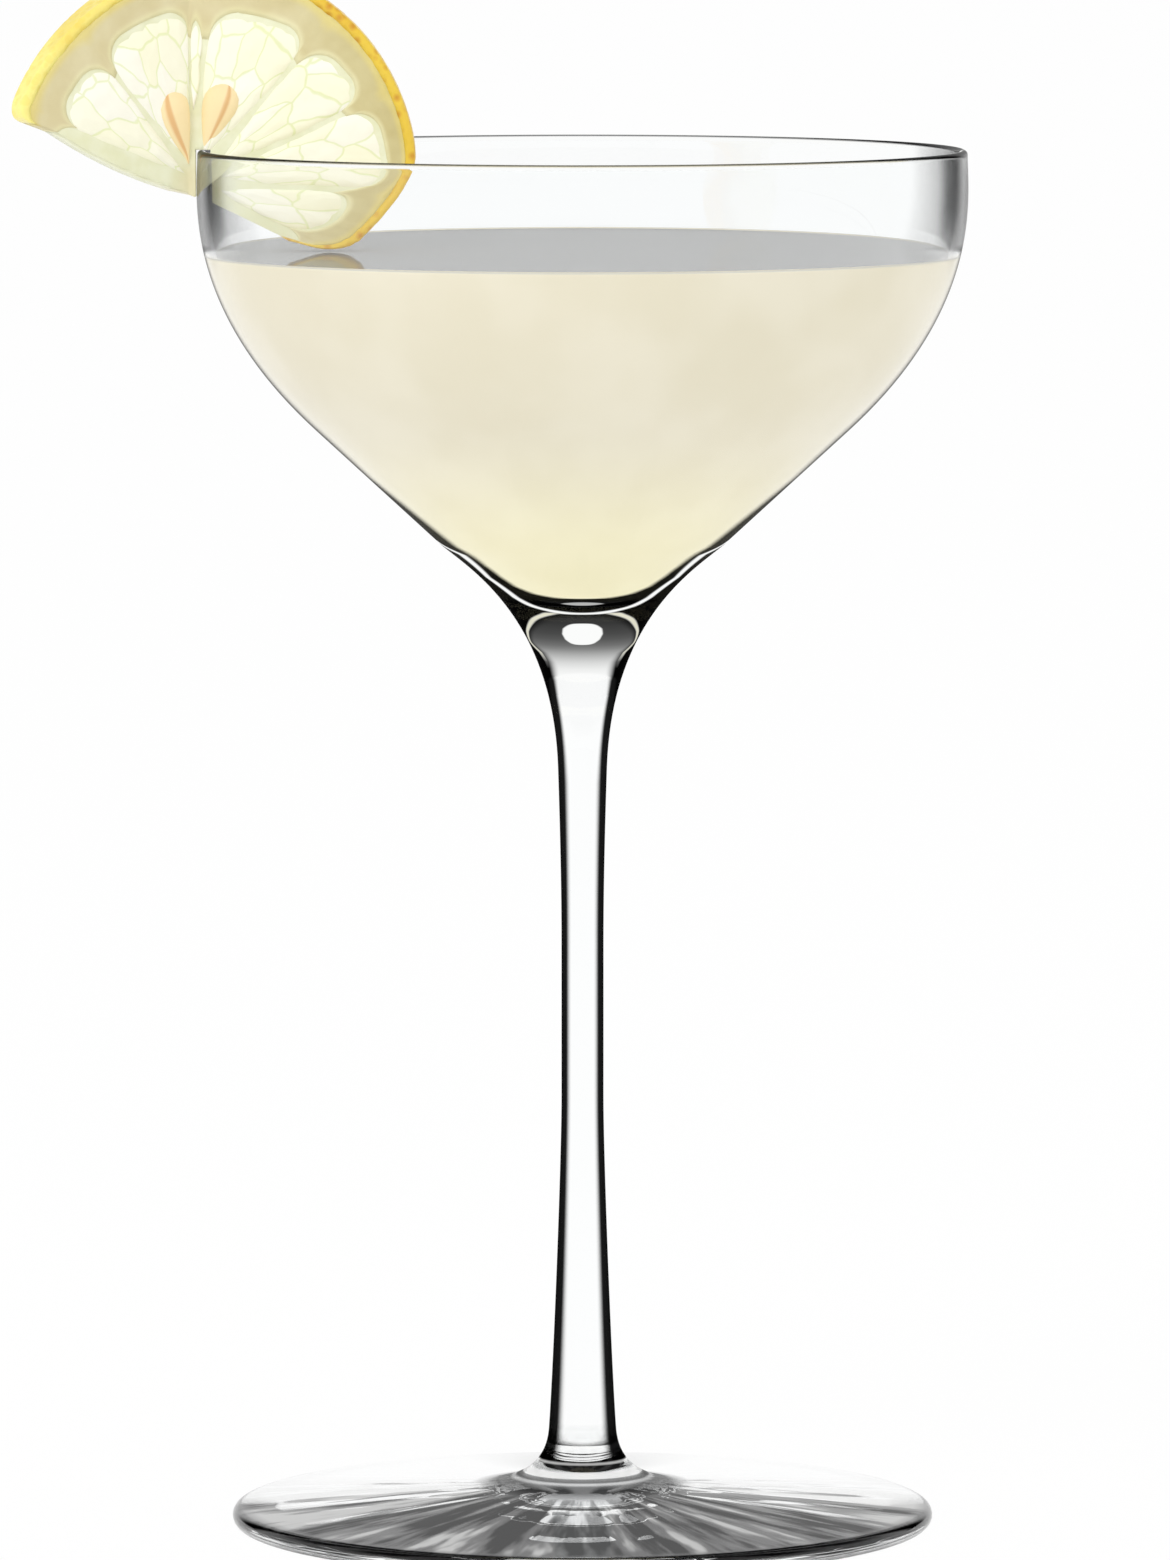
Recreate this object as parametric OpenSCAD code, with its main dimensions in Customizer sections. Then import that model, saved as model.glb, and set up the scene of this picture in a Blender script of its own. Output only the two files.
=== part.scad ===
// A small stemmed cocktail glass, poured nearly full, with half a lemon wheel on its rim.
// The origin is the middle of the foot's underside, +Z is up, and lengths are millimetres.
// The lemon hangs on the rim at -X and faces -Y.

/* [Bowl] */
// Outer diameter at the rim
rim_d = 92.2; // [84:0.1:100]
// Height from the joint with the stem to the rim
bowl_h = 65.3; // [60:0.1:72]
// Wall thickness at the rim
wall = 1.1; // [0.8:0.05:1.8]
// Wall thickness of the straight cone
cone_wall = 1.25; // [0.9:0.05:2]
// Slope of the cone, measured from the axis
cone_a = 47.4; // [44:0.1:50]
// Outer diameter at the top of the cone, where the wall starts to turn upright
cone_top_d = 64.1; // [58:0.1:68]
// Outer diameter at the foot of the cone, where it starts to turn into the neck
cone_low_d = 34.6; // [28:0.1:40]
// Height of the top of the cone above the joint with the stem
cone_top_h = 31.8; // [29:0.1:34]
// Radius of the rounded inside floor
floor_r = 26; // [20:0.5:30]

/* [Stem] */
// Length between the joint with the foot and the joint with the bowl
stem_l = 91.2; // [70:0.1:110]
// Diameter of the slim middle
stem_d = 5.06; // [4:0.02:7]
// Diameter of the neck just under the bowl, where the flare begins
neck_d = 5.88; // [5.7:0.02:8]
// Depth of the start of the flare under the joint with the bowl
neck_drop = 9; // [6:0.1:14]
// Depth of the top of the slim middle under the joint with the bowl
slim_drop = 30.4; // [24:0.1:36]
// Height of the bottom of the slim middle above the joint with the foot
slim_rise = 42.5; // [30:0.1:46]

/* [Foot] */
// Diameter of the foot
foot_d = 84.6; // [74:0.1:92]
// Height of the joint with the stem
foot_h = 9.5; // [8.5:0.1:12]
// Diameter of the stem's root, just above the joint
root_d = 8.12; // [6.6:0.02:10]
// Height of the root above the joint
root_rise = 2.1; // [1:0.1:4]
// Diameter at which the root has spread into the disc
spread_d = 24.6; // [20:0.1:32]
// Height of the disc where the root has spread into it
spread_h = 4.7; // [4:0.1:5.6]
// Thickness of the disc at its edge
edge_t = 2.4; // [1.6:0.1:3.2]
// Width of the flat ring that the glass stands on
rest_w = 4; // [2:0.1:8]
// Rise of the hollow underside at its middle
hollow_h = 1.5; // [0.5:0.1:2.2]

/* [Drink] */
// Depth of the drink's surface below the rim
fill_drop = 12.5; // [10:0.1:24]

/* [Lemon] */
// Radius of the wheel
lemon_r = 27.4; // [24:0.1:30]
// Thickness of the slice
slice_t = 4.6; // [3:0.1:6]
// Thickness of the coloured zest
zest_t = 1.2; // [0.8:0.1:2]
// Height of the wheel's centre below the rim
centre_drop = 4.2; // [3.5:0.1:5]
// Angle by which the left half leans toward the front
fold_a = 32; // [0:1:40]
// Thickness of the skin between the segments and the pith
skin_t = 0.5; // [0.3:0.05:0.8]
// Width of the seeds
seed_d = 3.5; // [2.5:0.1:4]
// Length of the left seed
seed_left_l = 9; // [7:0.1:10]
// Length of the right seed
seed_right_l = 7.4; // [6:0.1:8.5]

/* [Fits] */
// Clearance between the lemon's slit and the glass wall, on each side
slit_gap = 0.2; // [0.15:0.01:0.3]
// Clearance between the top of the slit and the rim
seat_gap = 0.2; // [0.1:0.01:0.3]

/* [Hidden] */
$fn = 96;

// How far a cut runs past what it cuts
overrun = 1;
// Points along each curve of an outline
curve_n = 14;
// Points around the lip and the edge of the foot
round_n = 8;
// Angle between two points of the lemon's outline
lemon_step = 4;

// Heights of the joints, the rim and the drink
bowl_z = foot_h + stem_l;
rim_z = bowl_z + bowl_h;
drink_z = rim_z - fill_drop;

rim_r = rim_d / 2;
foot_r = foot_d / 2;

// Lengths of the curves' handles, as shares of the span that each one bridges
lip_share = 0.125;
shoulder_share = 0.61;
flare_share = 0.13;
neck_share = 0.61;
slim_share = 0.33;
taper_share = 0.2;
root_share = 0.16;
heel_share = 0.69;
toe_share = 0.56;
inner_share = 0.95;
// Angles of the outline from the axis at the neck and the root, and of the disc from level
neck_a = 1.85;
root_a = 4.3;
spread_a = 12;

// A point of a cubic curve, and the points of one without its first
function curve_point(p, t) =
    pow(1 - t, 3) * p[0] + 3 * pow(1 - t, 2) * t * p[1] + 3 * (1 - t) * t * t * p[2]
    + pow(t, 3) * p[3];
function curve(p, n = curve_n) = [for (i = [1:n]) curve_point(p, i / n)];
// The points of an arc about c, from angle a0 to a1
function arc(c, r, a0, a1, n = round_n) =
    [for (i = [0:n]) let (a = a0 + (a1 - a0) * i / n) c + r * [cos(a), sin(a)]];

// The cone's direction, its top and its low end, as [radius, height]
cone_dir = [sin(cone_a), cos(cone_a)];
cone_in = [-cos(cone_a), sin(cone_a)];
cone_top = [cone_top_d / 2, bowl_z + cone_top_h];
cone_len = (cone_top_d - cone_low_d) / 2 / sin(cone_a);
cone_low = cone_top - cone_len * cone_dir;
neck = [neck_d / 2, bowl_z - neck_drop];
neck_dir = [sin(neck_a), cos(neck_a)];
slim_top = [stem_d / 2, bowl_z - slim_drop];
slim_low = [stem_d / 2, foot_h + slim_rise];
root = [root_d / 2, foot_h + root_rise];
root_dir = [-sin(root_a), cos(root_a)];
spread = [spread_d / 2, spread_h];
spread_dir = [-cos(spread_a), sin(spread_a)];

// Spans that the handles follow
shoulder_len = norm([rim_r, rim_z] - cone_top);
flare_len = norm(cone_low - neck);
slim_len = neck[1] - slim_top[1];
taper_len = slim_low[1] - root[1];
heel_len = root[1] - spread[1];
toe_len = spread[0] - root[0];

// The foot's rounded edge and its underside
edge_c = [foot_r - edge_t / 2, edge_t / 2];
rest_in = foot_r - edge_t / 2 - rest_w;
hollow_r = (rest_in * rest_in + hollow_h * hollow_h) / 2 / hollow_h;
hollow_a = asin(rest_in / hollow_r);

// The outside of the whole glass, from the lip down to the middle of the underside
outside = concat(
    arc([rim_r - wall / 2, rim_z - wall / 2], wall / 2, 180, 0),
    curve([
        [rim_r, rim_z - wall / 2],
        [rim_r, rim_z - wall / 2 - lip_share * shoulder_len],
        cone_top + shoulder_share * shoulder_len * cone_dir,
        cone_top
    ]),
    [cone_low],
    curve([
        cone_low,
        cone_low - flare_share * flare_len * cone_dir,
        neck + neck_share * flare_len * neck_dir,
        neck
    ]),
    curve([
        neck,
        neck - slim_share * slim_len * neck_dir,
        slim_top + slim_share * [0, slim_len],
        slim_top
    ]),
    [slim_low],
    curve([
        slim_low,
        slim_low - taper_share * [0, taper_len],
        root + root_share * taper_len * root_dir,
        root
    ]),
    curve([
        root,
        root - heel_share * heel_len * root_dir,
        spread + toe_share * toe_len * spread_dir,
        spread
    ]),
    arc(edge_c, edge_t / 2, 85, -90),
    [[rest_in, 0]],
    arc([0, hollow_h - hollow_r], hollow_r, 90 - hollow_a, 90, curve_n),
    [[0, rim_z - wall / 2]]
);

// The inside of the bowl, from the middle of its floor up past the rim
inner_top = cone_top + cone_wall * cone_in;
floor_c = [0, inner_top[1] - inner_top[0] / tan(cone_a) + floor_r / sin(cone_a)];
inner_len = inner_share * shoulder_len;
lip_in = [rim_r - wall, rim_z - wall / 2];
inside = concat(
    arc(floor_c, floor_r, -90, -cone_a, curve_n),
    [inner_top],
    curve([
        inner_top,
        inner_top + shoulder_share * inner_len * cone_dir,
        lip_in - lip_share * [0, inner_len],
        lip_in
    ]),
    [lip_in + [0, wall + overrun], [0, rim_z + wall + overrun]]
);

// Width of the core, and the drop of its lower end below the wheel's centre
core_w = 0.9;
core_drop = 1.4;
// Extra width of the slit for the wall's lean and curve within it
slit_lean = 0.35;

// The lemon's own plane has its origin at the wheel's centre, with x to the right and y up.
// The slit just right of the core takes the glass wall, and the fold lies just left of the core.
slit_left = core_w / 2;
slit_w = wall + 2 * slit_gap + slit_lean;
slit_top = centre_drop + seat_gap;
fold_x = -core_w / 2;
fold_lap = 0.04;
lemon_x = -rim_r - slit_gap - slit_left;
lemon_z = rim_z - centre_drop;

// Radius of the wheel around its outline, as [angle, share of the wheel's radius]
rim_shares = [
    [-90, 0.50], [-31, 0.50], [-27, 0.64], [-22.5, 0.735], [-19.5, 0.775], [-9, 0.86], [0, 0.94],
    [7, 0.985], [20, 0.995], [47, 1], [80, 0.985], [120, 0.94], [161, 0.96], [220, 0.96]
];
// The cut ends of the half wheel
cut_right_a = -31;
cut_left_a = 161;
// Bulge of the left cut edge below a straight line, as a share of the wheel's radius
cut_bulge_share = 0.03;

// The segments: first angle, last angle, share of the radius at the tip, shares at both outer ends
segment_shares = [
    [132, 157, 0.12, 0.735, 0.735],
    [94, 129.5, 0.10, 0.755, 0.74],
    [86, 90.5, 0.50, 0.75, 0.75],
    [51, 83, 0.20, 0.82, 0.75],
    [26.5, 48.5, 0.20, 0.84, 0.81],
    [-1.5, 24, 0.17, 0.85, 0.85],
    [-25, -4.5, 0.19, 0.56, 0.73]
];
// How round the corners of a segment are, as a share of the wheel's radius
corner_share = 0.045;
// Angles at which the skin round the segments changes from one segment's radius to the next
skin_gap_a = 1.2;

// A cubic blend through four neighbouring shares, t from 0 to 1 between the middle two
function blend(a, b, c, d, t) =
    b + t * (c - a) / 2 + t * t * (a - 2.5 * b + 2 * c - d / 2)
    + t * t * t * (1.5 * (b - c) + (d - a) / 2);
function knot(i) = rim_shares[max(0, min(len(rim_shares) - 1, i))];
function knot_below(a) = max([for (i = [0:len(rim_shares) - 2]) if (rim_shares[i][0] <= a) i]);
// The wheel's radius at an angle
function wheel_r(a) =
    let (i = knot_below(a), t = (a - knot(i)[0]) / (knot(i + 1)[0] - knot(i)[0]))
    lemon_r * blend(knot(i - 1)[1], knot(i)[1], knot(i + 1)[1], knot(i + 2)[1], t);
function polar(r, a) = r * [cos(a), sin(a)];
// The wheel's edge, set in by a depth, between two angles
function wheel_edge(depth, a0, a1) =
    let (n = ceil((a1 - a0) / lemon_step))
    [for (i = [0:n]) let (a = a0 + (a1 - a0) * i / n) polar(wheel_r(a) - depth, a)];

core_foot = [slit_left, -core_drop];
cut_left = polar(wheel_r(cut_left_a), cut_left_a);
cut_middle = (core_foot + cut_left) / 2 - [0, 2 * cut_bulge_share * lemon_r];

// The half wheel's whole outline, with its two cut edges
module slice_outline() {
    polygon(concat(
        [core_foot, core_foot + [slit_w, 0]],
        wheel_edge(0, cut_right_a, cut_left_a),
        curve([cut_left, (cut_left + 2 * cut_middle) / 3, (core_foot + 2 * cut_middle) / 3, core_foot],
            round_n)
    ));
}

// Everything inside the wheel's edge at a depth, past the cut edges too
module wheel_inside(depth) {
    polygon(wheel_edge(depth, rim_shares[0][0], rim_shares[len(rim_shares) - 1][0]));
}

// The outer edge of a segment, grown by a thickness and stretched by an angle at both ends
function segment_edge(s, grow, stretch) =
    let (a0 = s[0] - stretch, a1 = s[1] + stretch, n = ceil((a1 - a0) / lemon_step))
    [for (i = [0:n]) let (t = i / n)
        polar(lemon_r * (s[3] + (s[4] - s[3]) * t) + grow, a0 + (a1 - a0) * t)];

// The skin's outline: each segment's outer edge in turn, from the last segment round to the first
module skin_outline() {
    polygon(concat(
        [for (i = [len(segment_shares) - 1:-1:0])
            each segment_edge(segment_shares[i], skin_t, skin_gap_a)],
        [polar(lemon_r / 2, 180), polar(lemon_r / 2, 270)]
    ));
}

// A corner p between the directions to its neighbours a and b, rounded over a reach r
function corner(a, p, b, r) =
    let (
        p0 = p + min(r, norm(a - p) / 2) * (a - p) / norm(a - p),
        p1 = p + min(r, norm(b - p) / 2) * (b - p) / norm(b - p)
    )
    concat([p0], curve([p0, (p0 + 2 * p) / 3, (p1 + 2 * p) / 3, p1], round_n / 2));

// One segment's outline: its tip, and its outer edge between two rounded corners
module segment_outline(s) {
    edge = segment_edge(s, 0, 0);
    last = len(edge) - 1;
    tip = polar(lemon_r * s[2], (s[0] + s[1]) / 2);
    reach = corner_share * lemon_r;
    polygon(concat(
        corner(edge[last], tip, edge[0], reach),
        corner(tip, edge[0], edge[1], reach),
        [for (i = [1:last - 1]) edge[i]],
        corner(edge[last - 1], edge[last], tip, reach)
    ));
}

// Stands a flat shape up as a slice of the full thickness, facing the front
module stand_up() {
    translate([0, slice_t / 2, 0]) rotate([90, 0, 0]) linear_extrude(slice_t) children();
}

// The half space on one side of the fold, side being 1 for the right and -1 for the left
module fold_side(side) {
    big = 2 * lemon_r;
    translate([fold_x + side * big / 2, 0, 0]) cube([big, 2 * big, 2 * big], center = true);
}

// Turns a piece toward the front, about the fold
module lean() {
    translate([fold_x, 0, 0]) rotate([0, 0, fold_a]) translate([-fold_x, 0, 0]) children();
}

// The right half reaches past the fold by a hair, so that both halves are one piece
module right_half() {
    intersection() {
        children();
        translate([-fold_lap, 0, 0]) fold_side(1);
    }
}

// The left half leans by sliding forward in proportion to its distance from the fold
module left_half() {
    multmatrix([
        [cos(fold_a), 0, 0, fold_x * (1 - cos(fold_a))],
        [sin(fold_a), 1, 0, -fold_x * sin(fold_a)],
        [0, 0, 1, 0]
    ]) intersection() {
        children();
        fold_side(-1);
    }
}

// The slit that takes the glass wall, open at the bottom
module slit() {
    low = lemon_r;
    translate([slit_left, -lemon_r, -low]) cube([slit_w, 2 * lemon_r, low + slit_top]);
}

// Puts a finished piece of the lemon in its place on the rim, with the slit cut out
module on_rim() {
    translate([lemon_x, 0, lemon_z]) difference() {
        children();
        slit();
    }
}

// A seed lies along its own axis, pointed at the lower end; its front stands a little proud
seed_proud = 0.5;
// Distance of each seed's point from the wheel's centre, and its direction
seed_left_start = 2.9;
seed_left_a = 107;
seed_right_start = 5.4;
seed_right_a = 71;
// Half widths along a seed, as [share of the length, share of the half width]
seed_shares = [
    [0.1, 0.28], [0.22, 0.47], [0.36, 0.7], [0.5, 0.9], [0.63, 1], [0.76, 0.97], [0.87, 0.76],
    [0.95, 0.46]
];

// A seed in a slice whose front lies at a depth from its middle
module seed(depth, start, a, l) {
    translate([0, seed_d / 2 - depth - seed_proud, 0])
        rotate([0, 90 - a, 0]) translate([0, 0, start])
            rotate_extrude() polygon(concat(
                [[0, 0]],
                [for (s = seed_shares) [s[1] * seed_d / 2, s[0] * l]],
                [[0, l]]
            ));
}

module left_seed_body() {
    lean() seed(slice_t / 2 * cos(fold_a), seed_left_start, seed_left_a, seed_left_l);
}

module right_seed_body() {
    seed(slice_t / 2, seed_right_start, seed_right_a, seed_right_l);
}

// One slab of the whole glass's outside, between two heights
module glass_between(z0, z1) {
    intersection() {
        rotate_extrude() polygon(outside);
        translate([0, 0, (z0 + z1) / 2]) cube([2 * rim_d, 2 * rim_d, z1 - z0], center = true);
    }
}

module bowl() {
    color("white", 0.4) difference() {
        glass_between(bowl_z, rim_z + overrun);
        rotate_extrude() polygon(inside);
    }
}

module stem() {
    color("white", 0.4) glass_between(foot_h, bowl_z);
}

module foot() {
    color("white", 0.4) glass_between(-overrun, foot_h);
}

module drink() {
    color("cornsilk") intersection() {
        rotate_extrude() polygon(inside);
        translate([0, 0, drink_z - bowl_h / 2]) cube([rim_d, rim_d, bowl_h], center = true);
    }
}

module zest_flat() {
    difference() {
        slice_outline();
        wheel_inside(zest_t);
    }
}

module pith_flat() {
    difference() {
        intersection() {
            slice_outline();
            wheel_inside(zest_t);
        }
        skin_outline();
    }
}

module membrane_flat() {
    difference() {
        intersection() {
            slice_outline();
            skin_outline();
            wheel_inside(zest_t);
        }
        for (s = segment_shares) segment_outline(s);
    }
}

module both_halves() {
    right_half() children();
    left_half() children();
}

module lemon_zest() {
    color("gold") on_rim() both_halves() stand_up() zest_flat();
}

module lemon_pith() {
    color("wheat") on_rim() both_halves() stand_up() pith_flat();
}

module lemon_membrane() {
    color("lightgoldenrodyellow") on_rim() difference() {
        both_halves() stand_up() membrane_flat();
        left_seed_body();
        right_seed_body();
    }
}

module segment_flat(i) {
    intersection() {
        segment_outline(segment_shares[i - 1]);
        slice_outline();
    }
}

// The first two segments lie in the left half
module segment(i) {
    color("ivory") on_rim() difference() {
        if (i <= 2) left_half() stand_up() segment_flat(i);
        else right_half() stand_up() segment_flat(i);
        if (i == 2) left_seed_body();
        if (i == 4) right_seed_body();
    }
}

module seed_left() {
    color("navajowhite") on_rim() left_seed_body();
}

module seed_right() {
    color("navajowhite") on_rim() right_seed_body();
}

bowl();
stem();
foot();
drink();
lemon_zest();
lemon_pith();
lemon_membrane();
segment(1);  // segment_1
segment(2);  // segment_2
segment(3);  // segment_3
segment(4);  // segment_4
segment(5);  // segment_5
segment(6);  // segment_6
segment(7);  // segment_7
seed_left();
seed_right();
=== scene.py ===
"""Looks for a small stemmed cocktail glass, poured nearly full, with half a lemon wheel on its rim.

Sizes in the classes are millimetres, measured from the middle of the foot's underside, +Z up. They are
turned to metres where a mesh is made. The lemon hangs on the rim at -X and its cut face looks along -Y.
"""

import logging
import math
from collections.abc import Callable
from dataclasses import dataclass, field
from enum import Enum

import bmesh
import bpy
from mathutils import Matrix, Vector, noise


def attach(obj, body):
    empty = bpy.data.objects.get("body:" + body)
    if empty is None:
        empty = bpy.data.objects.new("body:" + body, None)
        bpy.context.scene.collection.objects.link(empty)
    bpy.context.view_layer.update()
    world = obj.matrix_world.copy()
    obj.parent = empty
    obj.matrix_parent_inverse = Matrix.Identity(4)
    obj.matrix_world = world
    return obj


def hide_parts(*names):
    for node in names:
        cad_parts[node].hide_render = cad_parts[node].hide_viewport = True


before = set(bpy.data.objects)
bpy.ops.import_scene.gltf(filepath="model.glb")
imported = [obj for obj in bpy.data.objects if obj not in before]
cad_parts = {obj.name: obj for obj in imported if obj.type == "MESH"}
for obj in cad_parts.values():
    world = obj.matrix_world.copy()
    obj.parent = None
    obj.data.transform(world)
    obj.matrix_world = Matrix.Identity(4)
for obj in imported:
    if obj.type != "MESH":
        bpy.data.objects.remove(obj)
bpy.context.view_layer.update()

log = logging.getLogger("cocktail_glass")

MM = 0.001
# The distance in millimetres under which two points are one
SAME = 1e-6
WHITE = "#ffffff"
UP = (0.0, 1.0)
Point = tuple[float, float]
Point3 = tuple[float, float, float]
Socket = bpy.types.NodeSocket
Value = Socket | float
# A depth, from the share of the way out to a rim, x and z
Depth = Callable[[float, float, float], float]


class Body(Enum):
    """The two bodies that pieces ride on."""

    GLASS = "glass"
    LEMON = "lemon"


class Slot(Enum):
    """The record's material slots."""

    CRYSTAL = "crystal"
    DRINK = "drink"
    ZEST = "zest"
    PITH = "pith"
    MEMBRANE = "membrane"
    PULP = "pulp"
    SEED = "seed"


def linear(code: str) -> tuple[float, float, float, float]:
    """Turns an sRGB hex colour, six digits after a #, to the linear values that shaders take."""
    parts = [int(code[i : i + 2], 16) / 255 for i in (1, 3, 5)]
    return (*(c / 12.92 if c <= 0.04045 else ((c + 0.055) / 1.055) ** 2.4 for c in parts), 1.0)


def lerp(a: float, b: float, t: float) -> float:
    """The value a share t of the way from a to b."""
    return a + (b - a) * t


def between(p: Point, q: Point, t: float) -> Point:
    """The point a share t of the way from p to q."""
    return (lerp(p[0], q[0], t), lerp(p[1], q[1], t))


def along(start: Point, way: Point, length: float) -> Point:
    """The point a length away from another, in a direction."""
    return (start[0] + way[0] * length, start[1] + way[1] * length)


def lean(degrees: float) -> Point:
    """The direction that leans outward from straight up."""
    return (math.sin(math.radians(degrees)), math.cos(math.radians(degrees)))


def polar(r: float, degrees: float) -> Point:
    """The point at a distance and an angle from the right, upward."""
    return (r * math.cos(math.radians(degrees)), r * math.sin(math.radians(degrees)))


def smooth_step(t: float) -> float:
    """Eases 0 to 1, flat at both ends."""
    t = min(1.0, max(0.0, t))
    return t * t * (3 - 2 * t)


def bell(gap: float, width: float) -> float:
    """A bump that is 1 at a gap of 0 and fades over a width."""
    return math.exp(-((gap / width) ** 2))


def bezier(p0: Point, p1: Point, p2: Point, p3: Point, count: int) -> list[Point]:
    """Points along a cubic curve with two ends and two handles, without its first.

    Args:
        p0: the first end.
        p1: the first end's handle.
        p2: the last end's handle.
        p3: the last end.
        count: how many points.

    Returns:
        The points.
    """
    out = []
    for i in range(1, count + 1):
        t = i / count
        w = ((1 - t) ** 3, 3 * (1 - t) ** 2 * t, 3 * (1 - t) * t * t, t**3)
        out.append(tuple(sum(k * p[a] for k, p in zip(w, (p0, p1, p2, p3))) for a in (0, 1)))
    return out


def arc(centre: Point, radius: float, start: float, end: float, count: int) -> list[Point]:
    """Points along an arc, from a start to an end angle in degrees, both included."""
    return [along(centre, polar(1.0, lerp(start, end, i / count)), radius) for i in range(count + 1)]


class Nodes:
    """The nodes of one material or world, with short ways to add more."""

    def __init__(self, tree: bpy.types.NodeTree) -> None:
        """Empties the tree."""
        self.tree = tree
        tree.nodes.clear()

    def add(self, kind: str, inputs: dict | None = None, output: int | str = 0, **settings) -> Socket:
        """Adds a node with its settings and links.

        Args:
            kind: the node's type, without its leading "ShaderNode".
            inputs: for each input's name or index, a value, an sRGB hex colour, or a socket to link from.
            output: the name or index of the output to give back.
            settings: properties of the node itself.

        Returns:
            The output.
        """
        node = self.tree.nodes.new("ShaderNode" + kind)
        for name, value in settings.items():
            setattr(node, name, value)
        for key, value in (inputs or {}).items():
            if isinstance(value, bpy.types.NodeSocket):
                self.tree.links.new(value, node.inputs[key])
            else:
                node.inputs[key].default_value = linear(value) if isinstance(value, str) else value
        return node.outputs[output]

    def end(self, kind: str, shader: Socket) -> None:
        """Leads a shader to the tree's output."""
        self.tree.links.new(shader, self.tree.nodes.new("ShaderNode" + kind).inputs["Surface"])

    def calc(self, operation: str, *values: Value, clamp: bool = False) -> Socket:
        """Adds arithmetic on one value or, one after another, on several.

        Args:
            operation: what the Math node does.
            values: what it does it to, in order.
            clamp: whether each result is held between 0 and 1.

        Returns:
            The result.
        """
        total = values[0]
        # An operation on one value doesn't read the second
        for value in values[1:] or (0.0,):
            total = self.add("Math", {0: total, 1: value}, operation=operation, use_clamp=clamp)
        return total

    def less(self, share: Value) -> Socket:
        """What a share leaves of 1."""
        return self.calc("SUBTRACT", 1.0, share)

    def remap(self, value: Value, low: Value, high: Value, start: Value = 0.0, end: Value = 1.0,
              smooth: bool = False) -> Socket:
        """Turns low to start and high to end, and stays there beyond them.

        Args:
            value: the value.
            low: where the value turns to start.
            high: where the value turns to end.
            start: the result at low.
            end: the result at high.
            smooth: whether the result eases in and out.

        Returns:
            The result.
        """
        return self.add("MapRange", {
            "Value": value, "From Min": low, "From Max": high, "To Min": start, "To Max": end,
        }, interpolation_type="SMOOTHSTEP" if smooth else "LINEAR")

    def near(self, value: Value, curve: Value, width: float, full: float = 0.3) -> Socket:
        """A share that is 1 where a value meets a curve and 0 beyond a width from it."""
        gap = self.calc("ABSOLUTE", self.calc("SUBTRACT", value, curve))
        return self.remap(gap, full * width, width, 1.0, 0.0, smooth=True)

    def below(self, value: Value, curve: Value, soft: float) -> Socket:
        """A share that is 1 where a value lies a width or more below a curve, and 0 above the curve."""
        return self.remap(self.calc("SUBTRACT", curve, value), 0.0, soft, smooth=True)

    def parts(self, source: Socket, kind: str = "SeparateXYZ") -> tuple[Socket, ...]:
        """Splits a vector or a colour in three."""
        return tuple(self.add(kind, {0: source}).node.outputs[:3])

    def band(self, source: Socket, stops: list[tuple[float, tuple]], mode: str) -> Socket:
        """Adds a ramp of places from 0 to 1 with linear colours, lowest first.

        Args:
            source: a value from 0 to 1.
            stops: each place and its colour.
            mode: how the ramp blends from stop to stop.

        Returns:
            The colour.
        """
        out = self.add("ValToRGB", {"Fac": source})
        elements = out.node.color_ramp.elements
        out.node.color_ramp.interpolation = mode
        while len(elements) < len(stops):
            elements.new(0.5)
        for element, (place, colour) in zip(elements, stops):
            element.position = place
            element.color = colour
        return out

    def ramp(self, source: Socket, *stops: tuple[float, str]) -> Socket:
        """Adds a ramp that eases between sRGB hex colours."""
        return self.band(source, [(place, linear(code)) for place, code in stops], "EASE")

    def table(self, place: Socket, rows: list[tuple[float, ...]]) -> tuple[Socket, ...]:
        """Adds a table of three values that blend from row to row.

        Args:
            place: a place in metres.
            rows: a place in millimetres and its three values from 0 to 1, lowest first, 32 rows at most.

        Returns:
            The three values at the place.
        """
        low, high = rows[0][0], rows[-1][0]
        stops = [((at - low) / (high - low), (*values, 1.0)) for at, *values in rows]
        return self.parts(self.band(self.remap(place, low * MM, high * MM), stops, "LINEAR"), "SeparateColor")

    def mixed(self, share: Value, first: Value | str | tuple, second: Value | str | tuple,
              blend: str = "MIX") -> Socket:
        """Mixes two colours."""
        return self.add("MixRGB", {"Fac": share, 1: first, 2: second}, blend_type=blend)

    def clouded(self, colour: Value | str, clouds: Socket, code: str, low: float = 0.3) -> Socket:
        """Tints a colour where noise is low."""
        return self.mixed(1.0, colour, self.ramp(clouds, (low, code), (1 - low, WHITE)), "MULTIPLY")

    def noise(self, place: Socket, size: float, detail: float) -> Socket:
        """Noise with clouds of a size in millimetres."""
        return self.add("TexNoise", {"Vector": place, "Scale": 1 / (size * MM), "Detail": detail})

    def bump(self, height: Socket, strength: float, depth: float) -> Socket:
        """A normal that follows a height, to a depth in millimetres."""
        return self.add("Bump", {"Height": height, "Strength": strength, "Distance": depth * MM})

    def place(self) -> Socket:
        """The place on the object."""
        return self.add("TexCoord", output="Object")

    def path(self, name: str) -> Socket:
        """What the light path says of the ray."""
        return self.add("LightPath", output=name)

    def facing(self) -> Socket:
        """A value that is 0 where a face looks at the eye, and 1 at its edge."""
        return self.add("LayerWeight", {"Blend": 0.5}, "Facing")

    def flat(self, place: Socket) -> Socket:
        """A place without its height."""
        return self.add("VectorMath", {0: place, 1: (1.0, 1.0, 0.0)}, operation="MULTIPLY")

    def length(self, vector: Socket) -> Socket:
        """A vector's length."""
        return self.add("VectorMath", {0: vector}, "Value", operation="LENGTH")


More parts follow.
